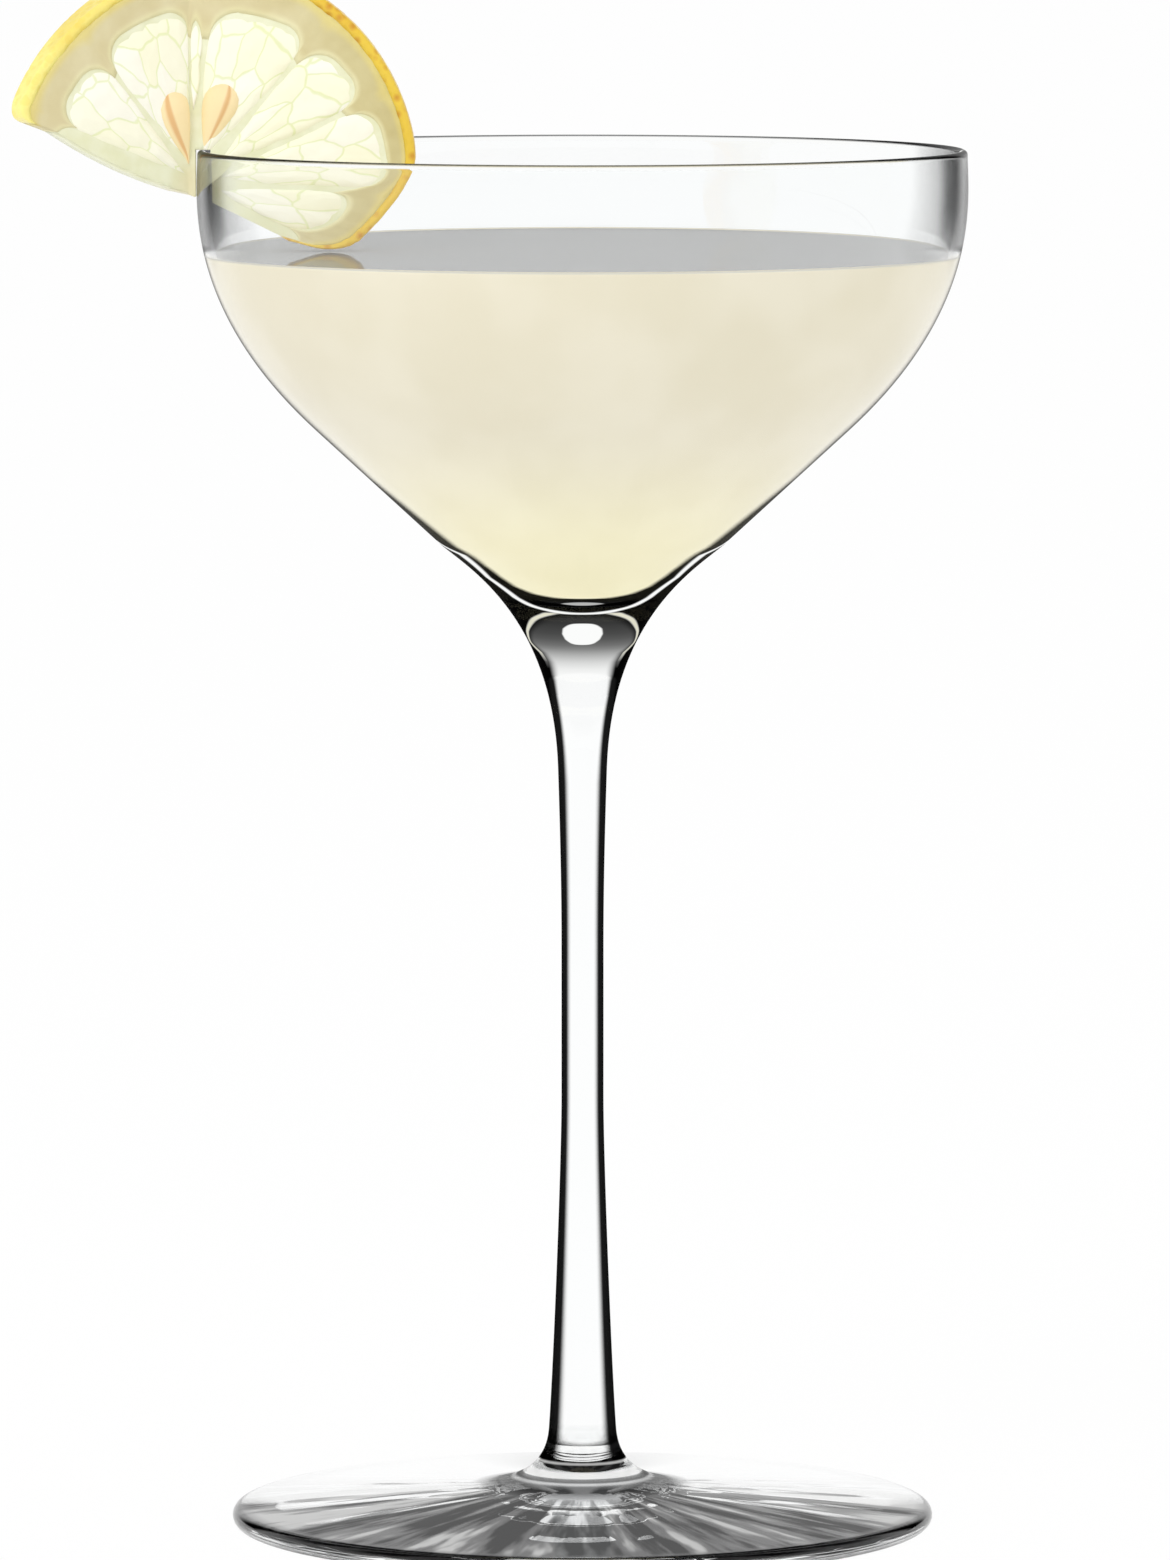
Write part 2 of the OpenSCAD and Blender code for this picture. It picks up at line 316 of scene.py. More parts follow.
def make_object(name: str, verts: list[Point3], faces: list[tuple[int, ...]],
                materials: list[bpy.types.Material], slots: list[int] | None = None,
                flats: set[int] | None = None) -> bpy.types.Object:
    """Makes a mesh object from points in millimetres.

    Args:
        name: the object's name.
        verts: its points.
        faces: its faces, outward by the right-hand rule.
        materials: its materials.
        slots: each face's material index, all 0 if left out.
        flats: the faces that aren't shaded smooth.

    Returns:
        The object, linked to the scene.
    """
    mesh = bpy.data.meshes.new(name)
    mesh.from_pydata([(x * MM, y * MM, z * MM) for x, y, z in verts], [], faces)
    for material in materials:
        mesh.materials.append(material)
    mesh.polygons.foreach_set("use_smooth", [i not in (flats or ()) for i in range(len(faces))])
    if slots:
        mesh.polygons.foreach_set("material_index", slots)
    mesh.update()
    mesh.validate()
    if flats:
        keys = {key for i in flats for key in mesh.polygons[i].edge_keys}
        for edge in mesh.edges:
            edge.use_edge_sharp = edge.key in keys
    thing = bpy.data.objects.new(name, mesh)
    bpy.context.scene.collection.objects.link(thing)
    return thing


def settle(thing: bpy.types.Object, body: Body, node: str) -> None:
    """Fixes a piece to its body, and lets it stand for a CAD node.

    Args:
        thing: the piece.
        body: the body.
        node: the CAD node.
    """
    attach(thing, body.value)
    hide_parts(node)
    log.info("%s rides on %s and stands for %s", thing.name, body.value, node)


@dataclass(frozen=True)
class Finish:
    """What all finishes share: a name, and a material made of nodes."""

    name: str

    def material(self) -> bpy.types.Material:
        """Makes the material.

        Returns:
            The material.
        """
        material = bpy.data.materials.new(self.name)
        material.use_nodes = True
        nodes = Nodes(material.node_tree)
        nodes.end("OutputMaterial", self.shader(nodes))
        return material

    def shader(self, n: Nodes) -> Socket:
        """Adds the finish's nodes and gives their shader."""
        raise NotImplementedError


@dataclass(frozen=True)
class EdgeTone:
    """How much painted shade, from a black matt shader, darkens the glass toward its edges at one height;
    heights between two tones blend them.
    """

    z: float
    # Facing value at which an edge starts to darken, and at which it is darkest
    start: float
    end: float
    # The greatest share of painted shade at the edge
    edge_shade: float


@dataclass(frozen=True)
class BlownCrystal(Finish):
    """Clear lead-free crystal, blown and fire polished: sharp and colourless, with painted shade on its
    grazing edges.
    """

    # From the lowest height up
    tones: tuple[EdgeTone, ...]
    ior: float = 1.5
    # Height above which mirror images in other glass leave this piece out
    unmirrored_z: float = 1000.0
    # The least share of an upright wall that a steep look still sees
    least_level: float = 0.1
    tint_code: str = "#fdfefe"
    passing_code: str = "#fafbfb"

    def shader(self, n: Nodes) -> Socket:
        """Glass that lets lamps and bounced light pass straight through.

        Args:
            n: the material's nodes.

        Returns:
            The shader.
        """
        place, facing = n.place(), n.facing()
        height = n.parts(place)[2]
        turned = self.turned(n, facing)
        # Painted shade: a black matt shader mixed in toward the grazing edges, for the dark room that the
        # glass would show there
        start, end, most = n.table(height, [(t.z, t.start, t.end, t.edge_shade) for t in self.tones])
        edge_shade = n.remap(turned, start, end, 0.0, most, smooth=True)
        clear_glass = n.add("BsdfPrincipled", {
            "Base Color": self.tint_code, "Roughness": 0.0, "IOR": self.ior, "Transmission Weight": 1.0,
        })
        dark = n.add("BsdfDiffuse", {"Color": "#000000"})
        glass = n.add("MixShader", {0: edge_shade, 1: clear_glass, 2: dark})
        # Painted light and shade: an emission mixed over the glass by share
        share, colour = self.painted_gleams(n, place, facing, turned)
        painted_gleam = n.add("Emission", {"Color": colour, "Strength": 1.0})
        glass = n.add("MixShader", {0: share, 1: glass, 2: painted_gleam})
        # A mirrored ray comes in from outside and then has gone through; rays inside the glass do neither
        outside = n.calc("MAXIMUM", n.less(self.behind(n)), n.path("Transparent Depth"), clamp=True)
        unseen = n.calc("GREATER_THAN", height, self.unmirrored_z * MM)
        unseen = n.calc("MULTIPLY", unseen, self.mirrored(n), outside)
        passing = n.calc("MAXIMUM", n.path("Is Shadow Ray"), n.path("Is Diffuse Ray"), unseen)
        clear = n.add("BsdfTransparent", {"Color": self.passing_code})
        return n.add("MixShader", {0: passing, 1: glass, 2: clear})

    def low_eye(self, n: Nodes) -> Socket:
        """A value that is 1 for an eye level with the glass, and 0 from straight above."""
        up = n.add("CombineXYZ", {2: 1.0})
        return n.add("LayerWeight", {"Blend": 0.5, "Normal": up}, "Facing")

    def turned(self, n: Nodes, facing: Socket) -> Socket:
        """The facing value that an upright wall would have, without what comes from looking down or up.

        Args:
            n: the material's nodes.
            facing: 0 where the glass faces the eye, 1 at its edge.

        Returns:
            The value, from 0 to 1.
        """
        steep = self.low_eye(n)
        level = n.calc("MULTIPLY", steep, n.calc("SUBTRACT", 2.0, steep))
        level = n.calc("MAXIMUM", n.calc("POWER", level, 0.5), self.least_level)
        ahead = n.calc("DIVIDE", n.less(facing), level)
        return n.calc("SUBTRACT", 1.0, ahead, clamp=True)

    def painted_gleams(self, n: Nodes, place: Socket, facing: Socket, turned: Socket
               ) -> tuple[Value, Socket | str]:
        """Gives the share of painted light and shade, an emission for the light that solid glass gathers, and
        its colour; plain thin glass has none.
        """
        return 0.0, WHITE

    def behind(self, n: Nodes) -> Socket:
        """A share that is 1 for rays that meet a face from its back."""
        return n.add("NewGeometry", output="Backfacing")

    def mirrored(self, n: Nodes) -> Socket:
        """A share that is 1 for what other glass mirrors, and 0 for what is seen straight or through it."""
        return n.calc("SUBTRACT", n.path("Is Glossy Ray"), n.path("Is Transmission Ray"), clamp=True)

    def on_front(self, n: Nodes, share: Socket) -> Socket:
        """Keeps a share only where light leaves the glass outward, and out of mirror images of it."""
        hidden = n.calc("MAXIMUM", self.behind(n), self.mirrored(n))
        return n.calc("MULTIPLY", share, n.calc("SUBTRACT", 1.0, hidden, clamp=True))


@dataclass(frozen=True)
class PaintedNeckLight:
    """Where painted light stands for the light that gathers in the solid neck, at one height."""

    z: float
    # Facing values of the painted bright line under the drink and of the painted bulb-shaped line, and the
    # one that the painted round pool of light reaches to
    line: float
    bulb: float
    pool: float
    # Levels of the painted bulb's line, of the painted pool, and of the painted glow inside the bulb
    bulb_level: float
    pool_level: float
    glow: float


@dataclass(frozen=True)
class BowlCrystal(BlownCrystal):
    """The bowl's crystal, whose solid neck is a lens that gathers the drink's and the room's light, painted
    here as emitted lines, a pool and a glow.
    """

    lights: tuple[PaintedNeckLight, ...] = tuple(PaintedNeckLight(*row) for row in (
        (102.4, 0.0, 0.43, 0.0, 0.0, 0.0, 0.0), (103.2, 0.0, 0.43, 0.0, 0.0, 0.0, 0.97),
        (104.0, 0.0, 0.43, 0.0, 0.0, 0.0, 0.88), (104.8, 0.0, 0.45, 0.0, 0.1, 0.0, 0.72),
        (105.9, 0.0, 0.54, 0.0, 0.7, 0.0, 0.42), (106.5, 0.0, 0.67, 0.0, 0.8, 0.0, 0.25),
        (106.95, 0.0, 0.76, 0.1, 0.8, 1.0, 0.17), (107.06, 0.0, 0.77, 0.157, 0.8, 1.0, 0.16),
        (107.26, 0.0, 0.775, 0.177, 0.8, 1.0, 0.14), (107.73, 0.0, 0.75, 0.207, 0.85, 1.0, 0.1),
        (108.4, 0.0, 0.68, 0.231, 0.85, 1.0, 0.07), (109.07, 0.0, 0.58, 0.238, 0.85, 1.0, 0.055),
        (109.54, 0.0, 0.52, 0.228, 0.85, 1.0, 0.045), (109.74, 0.0, 0.497, 0.219, 0.85, 1.0, 0.04),
        (109.85, 0.0, 0.485, 0.17, 0.85, 1.0, 0.04), (110.2, 0.0, 0.44, 0.0, 0.9, 0.0, 0.035),
        (110.8, 0.17, 0.345, 0.0, 0.9, 0.0, 0.02), (110.96, 0.246, 0.327, 0.0, 0.9, 0.0, 0.0),
        (111.1, 0.28, 0.31, 0.0, 0.0, 0.0, 0.0), (111.25, 0.311, 0.0, 0.0, 0.0, 0.0, 0.0),
        (111.73, 0.427, 0.0, 0.0, 0.0, 0.0, 0.0), (112.0, 0.475, 0.0, 0.275, 0.0, 0.5, 0.0),
        (112.25, 0.51, 0.0, 0.315, 0.0, 0.5, 0.0), (112.5, 0.542, 0.0, 0.285, 0.0, 0.4, 0.0),
        (112.76, 0.574, 0.0, 0.0, 0.0, 0.0, 0.0), (115.1, 0.753, 0.0, 0.0, 0.0, 0.0, 0.0),
        (117.9, 0.793, 0.0, 0.0, 0.0, 0.0, 0.0), (119.4, 1.0, 0.0, 0.0, 0.0, 0.0, 0.0),
    ))
    # Widths, softness and colours of the painted lines, pool and glow
    line_w: float = 0.05
    # The facing value under which there is no line
    line_from: float = 0.15
    bulb_w: float = 0.06
    pool_soft: float = 0.012
    glow_soft: float = 0.2
    bulb_code: str = "#efecd4"
    line_code: str = "#fbfcfb"
    # The painted shade line where the drink's surface meets the glass: its height, thickness and level, and
    # the radius that the outside of the glass lies beyond
    contact_z: float = 153.42
    contact_h: float = 0.16
    contact_level: float = 0.5
    contact_r: float = 44.9
    contact_shade_code: str = "#7c7c7a"
    # The painted highlight line under the lip: its height, half its width, and the facing value that it fades
    # out at
    lip_z: float = 165.56
    lip_h: float = 0.27
    lip_facing: float = 0.5
    lip_soft: float = 0.2

    def painted_gleams(self, n: Nodes, place: Socket, facing: Socket, turned: Socket
               ) -> tuple[Value, Socket | str]:
        """Paints the highlight line under the drink, the bulb, the pool of light and the lip, and the shade
        line at the drink's edge.

        Args:
            n: the material's nodes.
            place: the place on the object.
            facing: 0 where the glass faces the eye, 1 at its edge; not used here.
            turned: the same for an upright wall, whatever height the eye has.

        Returns:
            The share of painted light and shade, and its colour.
        """
        height = n.parts(place)[2]
        line_at, bulb_at, pool_to = n.table(height, [(r.z, r.line, r.bulb, r.pool) for r in self.lights])
        bulb_level, pool_level, glow_level = n.table(
            height, [(r.z, r.bulb_level, r.pool_level, r.glow) for r in self.lights])
        used = n.calc("GREATER_THAN", line_at, self.line_from)
        line = n.calc("MULTIPLY", n.near(turned, line_at, self.line_w), used)
        bulb = n.calc("MULTIPLY", n.near(turned, bulb_at, self.bulb_w), bulb_level)
        pool = n.calc("MULTIPLY", n.below(turned, pool_to, self.pool_soft), pool_level)
        glow = n.calc("MULTIPLY", n.below(turned, bulb_at, self.glow_soft), glow_level)
        lip = n.calc("MULTIPLY", n.near(height, self.lip_z * MM, self.lip_h * MM),
                     n.below(turned, self.lip_facing, self.lip_soft))
        outside = n.calc("GREATER_THAN", n.length(n.flat(place)), self.contact_r * MM)
        contact = n.calc("MULTIPLY", n.near(height, self.contact_z * MM, self.contact_h * MM), outside,
                         self.contact_level)
        colour = n.mixed(contact, n.mixed(bulb, self.line_code, self.bulb_code), self.contact_shade_code)
        return self.on_front(n, n.calc("MAXIMUM", line, bulb, pool, glow, lip, contact)), colour


@dataclass(frozen=True)
class FootCrystal(BlownCrystal):
    """The foot's crystal, pressed while soft, with painted rays of light and shade and painted rings at its
    heel, for what its waves and thick heel refract.
    """

    # How finely the painted rays divide, how much they change on the way out, and how rough they are
    rays: float = 8.0
    drift: float = 5.0
    ray_detail: float = 3.0
    ray_rough: float = 0.55
    # Noise values at which a ray is darkest, neither dark nor light, and lightest, and the greatest shares
    dark_at: float = 0.36
    even_at: float = 0.48
    light_at: float = 0.58
    dark_most: float = 0.62
    light_most: float = 0.6
    # What is added to the noise at the near edge and at the sides
    near_bias: float = -0.07
    side_bias: float = 0.05
    # Facing values that the foot has from above, where rays are faint, where they are at full strength, at
    # its near edge and at its sides from a low eye, and at its far side, where rays are gone
    above_facing: float = 0.5
    full_facing: float = 0.725
    near_facing: float = 0.765
    side_facing: float = 0.84
    far_facing: float = 0.92
    above_share: float = 0.12
    # Radii between which rays fade in by the heel and out by the edge
    inner_r: Point = (7.0, 14.0)
    outer_r: Point = (40.0, 42.0)
    # Colours of the painted light and of the painted shade
    light_code: str = "#e4e4e3"
    dark_code: str = "#2c2c2c"
    # Painted rings of shade and light round the stem, for what the thick heel refracts: the radius, and the
    # shares of painted shade and of painted light
    rings: tuple[Point3, ...] = (
        (5.2, 0.0, 0.0), (5.35, 0.0, 0.7), (5.55, 0.2, 0.0), (5.95, 0.5, 0.0), (6.2, 0.1, 0.0),
        (6.3, 0.0, 0.6), (7.05, 0.0, 0.6), (7.3, 0.75, 0.0), (7.85, 0.88, 0.0), (8.15, 0.35, 0.0),
        (8.35, 0.35, 0.0), (8.8, 0.8, 0.0), (10.4, 0.8, 0.0), (12.0, 0.45, 0.0), (14.0, 0.0, 0.0),
    )
    # Values of low_eye between which the rings come up
    ring_eyes: Point = (0.3, 0.88)

    def painted_gleams(self, n: Nodes, place: Socket, facing: Socket, turned: Socket
               ) -> tuple[Value, Socket | str]:
        """Paints the rays of light and shade, darker toward the eye and lighter at the sides, and the rings.

        Args:
            n: the material's nodes.
            place: the place on the object.
            facing: 0 where the glass faces the eye, 1 at its edge.
            turned: the same for an upright wall, whatever height the eye has; not used here.

        Returns:
            The share of painted light and shade, and its colour.
        """
        flat = n.flat(place)
        reach = n.length(flat)
        lift = n.add("CombineXYZ", {2: n.calc("MULTIPLY", reach, self.drift)})
        way = n.add("VectorMath", {0: flat}, operation="NORMALIZE")
        ray = n.add("TexNoise", {
            "Vector": n.add("VectorMath", {0: way, 1: lift}, operation="ADD"), "Scale": self.rays,
            "Detail": self.ray_detail, "Roughness": self.ray_rough,
        })
        bias = n.remap(facing, self.near_facing, self.side_facing, self.near_bias, self.side_bias)
        ray = n.calc("ADD", ray, bias)
        shown = (
            n.remap(facing, self.side_facing, self.far_facing, 1.0, 0.0),
            n.remap(facing, self.above_facing, self.full_facing, self.above_share),
            n.remap(reach, self.inner_r[0] * MM, self.inner_r[1] * MM),
            n.remap(reach, self.outer_r[0] * MM, self.outer_r[1] * MM, 1.0, 0.0),
        )
        light_ray = n.remap(ray, self.even_at, self.light_at, 0.0, self.light_most, smooth=True)
        dark_ray = n.remap(ray, self.dark_at, self.even_at, self.dark_most, 0.0, smooth=True)
        dark_ring, light_ring, _ = n.table(reach, [(*row, 0.0) for row in self.rings])
        level = n.remap(self.low_eye(n), *self.ring_eyes)
        dark, light = (
            n.calc("MAXIMUM", n.calc("MULTIPLY", a, *shown), n.calc("MULTIPLY", b, level))
            for a, b in ((dark_ray, dark_ring), (light_ray, light_ring)))
        share = n.calc("MULTIPLY", n.calc("MAXIMUM", light, dark), n.less(n.path("Is Transmission Ray")))
        colour = n.mixed(n.calc("GREATER_THAN", light, dark), self.dark_code, self.light_code)
        return self.on_front(n, share), colour


@dataclass(frozen=True)
class FusedJoint(Finish):
    """The inside of a weld between two gathers of the same glass, which the eye can't see."""

    name: str = "fused_crystal_joint"

    def shader(self, n: Nodes) -> Socket:
        """Lets light straight through."""
        return n.add("BsdfTransparent", {"Color": WHITE})


@dataclass(frozen=True)
class CloudyCocktail(Finish):
    """A shaken citrus cocktail, strained: pale straw, cloudy enough to hide what is behind it."""

    name: str = "shaken_citrus_cocktail"
    body_code: str = "#f0e8d2"
    low_code: str = "#fff7d2"
    # Heights in millimetres between which the drink turns from its low to its body colour
    low_z: float = 116.0
    body_z: float = 136.0
    # Size and tint of the faint clouds in the drink
    cloud_mm: float = 14.0
    cloud_code: str = "#f9f8f4"
    # Facing values between which the glass stops showing the drink and mirrors the room instead,
    # from the critical angle between glass and drink
    mirror_start: float = 0.64
    mirror_end: float = 0.72

    def shader(self, n: Nodes) -> Socket:
        """The drink as seen through the glass, where its own surface has no gloss.

        Args:
            n: the material's nodes.

        Returns:
            The shader.
        """
        place = n.place()
        rise = n.remap(n.parts(place)[2], self.low_z * MM, self.body_z * MM, smooth=True)
        colour = n.mixed(rise, self.low_code, self.body_code)
        colour = n.clouded(colour, n.noise(place, self.cloud_mm, 2.0), self.cloud_code)
        liquid = n.add("BsdfPrincipled", {
            "Base Color": colour, "Roughness": 0.6, "Specular IOR Level": 0.0,
        })
        mirror = n.add("BsdfGlossy", {"Color": WHITE, "Roughness": 0.0})
        share = n.remap(n.facing(), self.mirror_start, self.mirror_end)
        return n.add("MixShader", {0: share, 1: liquid, 2: mirror})


@dataclass(frozen=True)
class CocktailSurface(Finish):
    """The same drink's open surface: wet, level and mirror smooth, with a painted grey reflection of the room
    at a low angle.
    """

    name: str = "cocktail_open_surface"
    top_code: str = "#e0d8bc"
    grazing_reflection_code: str = "#7f7f7e"
    # Facing values between which the surface turns from cream to the painted reflection's grey, and from dull
    # to mirroring
    grey_facing: Point = (0.74, 0.93)
    mirror_facing: Point = (0.3, 0.95)
    # The shares of light that the surface mirrors from above and along its plane
    mirror_shares: Point = (0.03, 0.34)

    def shader(self, n: Nodes) -> Socket:
        """Cream from above and, as a painted reflection, grey along its plane.

        Args:
            n: the material's nodes.

        Returns:
            The shader.
        """
        facing = n.facing()
        low, high = self.grey_facing
        colour = n.ramp(facing, (low, self.top_code), (high, self.grazing_reflection_code))
        liquid = n.add("BsdfPrincipled", {
            "Base Color": colour, "Roughness": 0.08, "Specular IOR Level": 0.0,
        })
        wet = n.add("BsdfGlossy", {"Color": WHITE, "Roughness": 0.02})
        share = n.remap(facing, *self.mirror_facing, *self.mirror_shares, smooth=True)
        return n.add("MixShader", {0: share, 1: liquid, 2: wet})


@dataclass(frozen=True)
class LemonFinish(Finish):
    """What the lemon's finishes share: they know each place in the wheel before it was bent."""

    def wheel_place(self, n: Nodes) -> tuple[Socket, Socket, Socket]:
        """Reads how far right a place lies and how far from the centre, in millimetres, and its angle."""
        x, y, _ = n.parts(n.add("Attribute", output="Vector", attribute_name="wheel_place"))
        return x, n.length(n.add("CombineXYZ", {0: x, 1: y})), n.calc("ARCTAN2", y, x)


@dataclass(frozen=True)
class LemonZest(LemonFinish):
    """Lemon zest, waxy and pitted with oil glands: deep yellow, with darker dots about 1.2 mm apart."""

    name: str = "waxed_lemon_zest"
    bright_code: str = "#fdf08a"
    deep_code: str = "#efcc3a"
    gland_bright_code: str = "#f6dc5c"
    gland_deep_code: str = "#d99f22"
    gland_mm: float = 1.25
    # Distances from a gland's middle, in cells, between which its dot ends
    dot: Point = (0.1, 0.5)
    # The least that a dot fades where the rind is palest
    plain_share: float = 0.7
    patch_mm: float = 9.0
    patch_code: str = "#faf0d0"
    # The wheel's left and right, in flat millimetres, where the rind is palest and deepest
    left_x: float = -18.0
    right_x: float = 20.0

    def shader(self, n: Nodes) -> Socket:
        """Waxed rind, paler at the wheel's left.

        Args:
            n: the material's nodes.

        Returns:
            The shader.
        """
        place = n.place()
        gland = n.add("TexVoronoi", {
            "Vector": place, "Scale": 1 / (self.gland_mm * MM), "Randomness": 0.85,
        })
        rightward = n.remap(self.wheel_place(n)[0], self.left_x, self.right_x, smooth=True)
        skin = n.mixed(rightward, self.bright_code, self.deep_code)
        dots = n.mixed(rightward, self.gland_bright_code, self.gland_deep_code)
        shown = n.calc("MAXIMUM", n.remap(gland, *self.dot), n.remap(rightward, 0.0, 1.0, self.plain_share, 0.0))
        patch = n.noise(place, self.patch_mm, 2.0)
        colour = n.clouded(n.mixed(shown, dots, skin), patch, self.patch_code, 0.35)
        return n.add("BsdfPrincipled", {
            "Base Color": colour, "Roughness": 0.36, "Normal": n.bump(gland, 0.5, 0.25), "Coat Weight": 0.25,
            "Coat Roughness": 0.25,
        })


@dataclass(frozen=True)
class LemonPith(LemonFinish):
    """Lemon pith, spongy and matt: warm beige, yellower beside the zest and the pulp."""

    name: str = "lemon_pith_sponge"
    code: str = "#e2d8b0"
    right_code: str = "#d6cb9a"
    yellow_code: str = "#e8d98e"
    halo_code: str = "#efeac0"
    # Flat places across the wheel between which the pith turns to its right-hand colour
    left_x: float = 4.0
    right_x: float = 22.0
    # The span up to which the zest's yellow reaches in, and the one from which the pulp's pale halo does
    yellow_to: float = 0.35
    halo_from: float = 0.72
    cloud_mm: float = 5.0
    cloud_code: str = "#f6f3ea"
    fibre_mm: float = 0.9

    def shader(self, n: Nodes) -> Socket:
        """Spongy pith; pith_span is 0 at the zest and 1 at the segments.

        Args:
            n: the material's nodes.

        Returns:
            The shader.
        """
        place = n.place()
        span = n.add("Attribute", output="Fac", attribute_name="pith_span")
        rightward = n.remap(self.wheel_place(n)[0], self.left_x, self.right_x, smooth=True)
        colour = n.mixed(rightward, self.code, self.right_code)
        colour = n.mixed(n.remap(span, 0.0, self.yellow_to, 1.0, 0.0, smooth=True), colour, self.yellow_code)
        colour = n.mixed(n.remap(span, self.halo_from, 1.0, smooth=True), colour, self.halo_code)
        colour = n.clouded(colour, n.noise(place, self.cloud_mm, 3.0), self.cloud_code)
        fibre = n.noise(place, self.fibre_mm, 4.0)
        return n.add("BsdfPrincipled", {
            "Base Color": colour, "Roughness": 0.75, "Normal": n.bump(fibre, 0.25, 0.15),
            "Specular IOR Level": 0.25,
        })


@dataclass(frozen=True)
class LemonMembrane(LemonFinish):
    """The skins between the segments, and the core: moist, pale yellow green, beige at the core."""

    name: str = "lemon_segment_membrane"
    code: str = "#f1f2d4"
    core_code: str = "#f0e7c2"
    core_mm: float = 5.0
    cloud_mm: float = 3.0
    cloud_code: str = "#f6f6ea"

    def shader(self, n: Nodes) -> Socket:
        """Moist skin, a little uneven.

        Args:
            n: the material's nodes.

        Returns:
            The shader.
        """
        near = n.remap(self.wheel_place(n)[1], 0.0, self.core_mm)
        cloud = n.noise(n.place(), self.cloud_mm, 3.0)
        colour = n.clouded(n.ramp(near, (0.15, self.core_code), (1.0, self.code)), cloud, self.cloud_code)
        return n.add("BsdfPrincipled", {
            "Base Color": colour, "Roughness": 0.38, "Normal": n.bump(cloud, 0.2, 0.2), "Coat Weight": 0.2,
            "Coat Roughness": 0.12,
        })


@dataclass(frozen=True)
class LemonPulp(LemonFinish):
    """Juice sacs, wet and nearly white in the light: drops drawn out toward the core, with green skins."""

    name: str = "lemon_juice_sacs"
    sac_code: str = "#fffffa"
    skin_code: str = "#eef4d6"
    # Tints of the palest and the ripest sac
    tint_codes: tuple[str, str] = ("#fffdf4", "#fdfbe4")
    # Size of a sac along and across the segment
    long_mm: float = 5.2
    wide_mm: float = 3.0
    # Radius at which wide_mm holds, since sacs narrow toward the core
    wide_at_mm: float = 17.0
    # How far a sac's wall wanders, in sacs, and how fast
    wander: float = 0.45
    wander_scale: float = 1.3
    # Half the thickness of a sac's skin, and where its colour has faded out, in sacs
    skin: Point = (0.012, 0.05)

    def shader(self, n: Nodes) -> Socket:
        """Wet pulp from cells laid out by angle and distance round the wheel's centre.

        Args:
            n: the material's nodes.

        Returns:
            The shader.
        """
        _, reach, angle = self.wheel_place(n)
        along_it = n.calc("MULTIPLY", reach, 1 / self.long_mm)
        across_it = n.calc("MULTIPLY", angle, self.wide_at_mm / self.wide_mm)
        cell = n.add("CombineXYZ", {0: across_it, 1: along_it})
        wobble = n.add("TexNoise", {"Vector": cell, "Scale": self.wander_scale, "Detail": 1.0}, "Color")
        moved = n.add("VectorMath", {0: wobble, 1: (self.wander, self.wander, 0.0)}, operation="MULTIPLY")
        cell = n.add("VectorMath", {0: cell, 1: moved}, operation="ADD")
        wall = n.add("TexVoronoi", {"Vector": cell, "Scale": 1.0}, "Distance", feature="DISTANCE_TO_EDGE",
                     voronoi_dimensions="2D")
        tone = n.add("TexVoronoi", {"Vector": cell, "Scale": 1.0}, "Color", voronoi_dimensions="2D")
        shade = n.ramp(n.parts(tone)[0], (0.1, self.tint_codes[0]), (0.9, self.tint_codes[1]))
        colour = n.ramp(wall, (0.0, self.skin_code), (self.skin[0], self.skin_code),
                        (self.skin[1], self.sac_code))
        return n.add("BsdfPrincipled", {
            "Base Color": n.mixed(1.0, colour, shade, "MULTIPLY"), "Roughness": 0.16,
            "Normal": n.bump(wall, 0.6, 0.35), "IOR": 1.36, "Coat Weight": 0.3, "Coat Roughness": 0.05,
        })


@dataclass(frozen=True)
class SeedHusk(Finish):
    """A lemon pip's husk: satin, cream orange, with painted shade along its crease."""

    name: str = "lemon_seed_husk"
    code: str = "#fde7b4"
    crease_shade_code: str = "#e9bb80"
    fibre_mm: float = 0.8

    def shader(self, n: Nodes) -> Socket:
        """Satin husk with painted shade in its crease; seed_crease is 1 along the crease.

        Args:
            n: the material's nodes.

        Returns:
            The shader.
        """
        crease = n.add("Attribute", output="Fac", attribute_name="seed_crease")
        return n.add("BsdfPrincipled", {
            "Base Color": n.ramp(crease, (0.25, self.code), (0.95, self.crease_shade_code)), "Roughness": 0.42,
            "Normal": n.bump(n.noise(n.place(), self.fibre_mm, 3.0), 0.2, 0.1),
        })


@dataclass(frozen=True)
class TableAcrylic(Finish):
    """White acrylic sheet, matt: it reads as plain white and keeps a faint shadow."""

    code: str
    # The share of plain white in what eyes, glass and gloss see of it
    white: float

    def shader(self, n: Nodes) -> Socket:
        """Mixes plain white in, for eyes, glass and gloss.

        Args:
            n: the material's nodes.

        Returns:
            The shader.
        """
        paint = n.add("BsdfDiffuse", {"Color": self.code})
        glow = n.add("Emission", {"Color": WHITE, "Strength": 1.0})
        seen = n.calc("MAXIMUM", n.path("Is Camera Ray"), n.path("Is Glossy Ray"),
                      n.path("Is Transmission Ray"))
        return n.add("MixShader", {0: n.calc("MULTIPLY", seen, self.white), 1: paint, 2: glow})


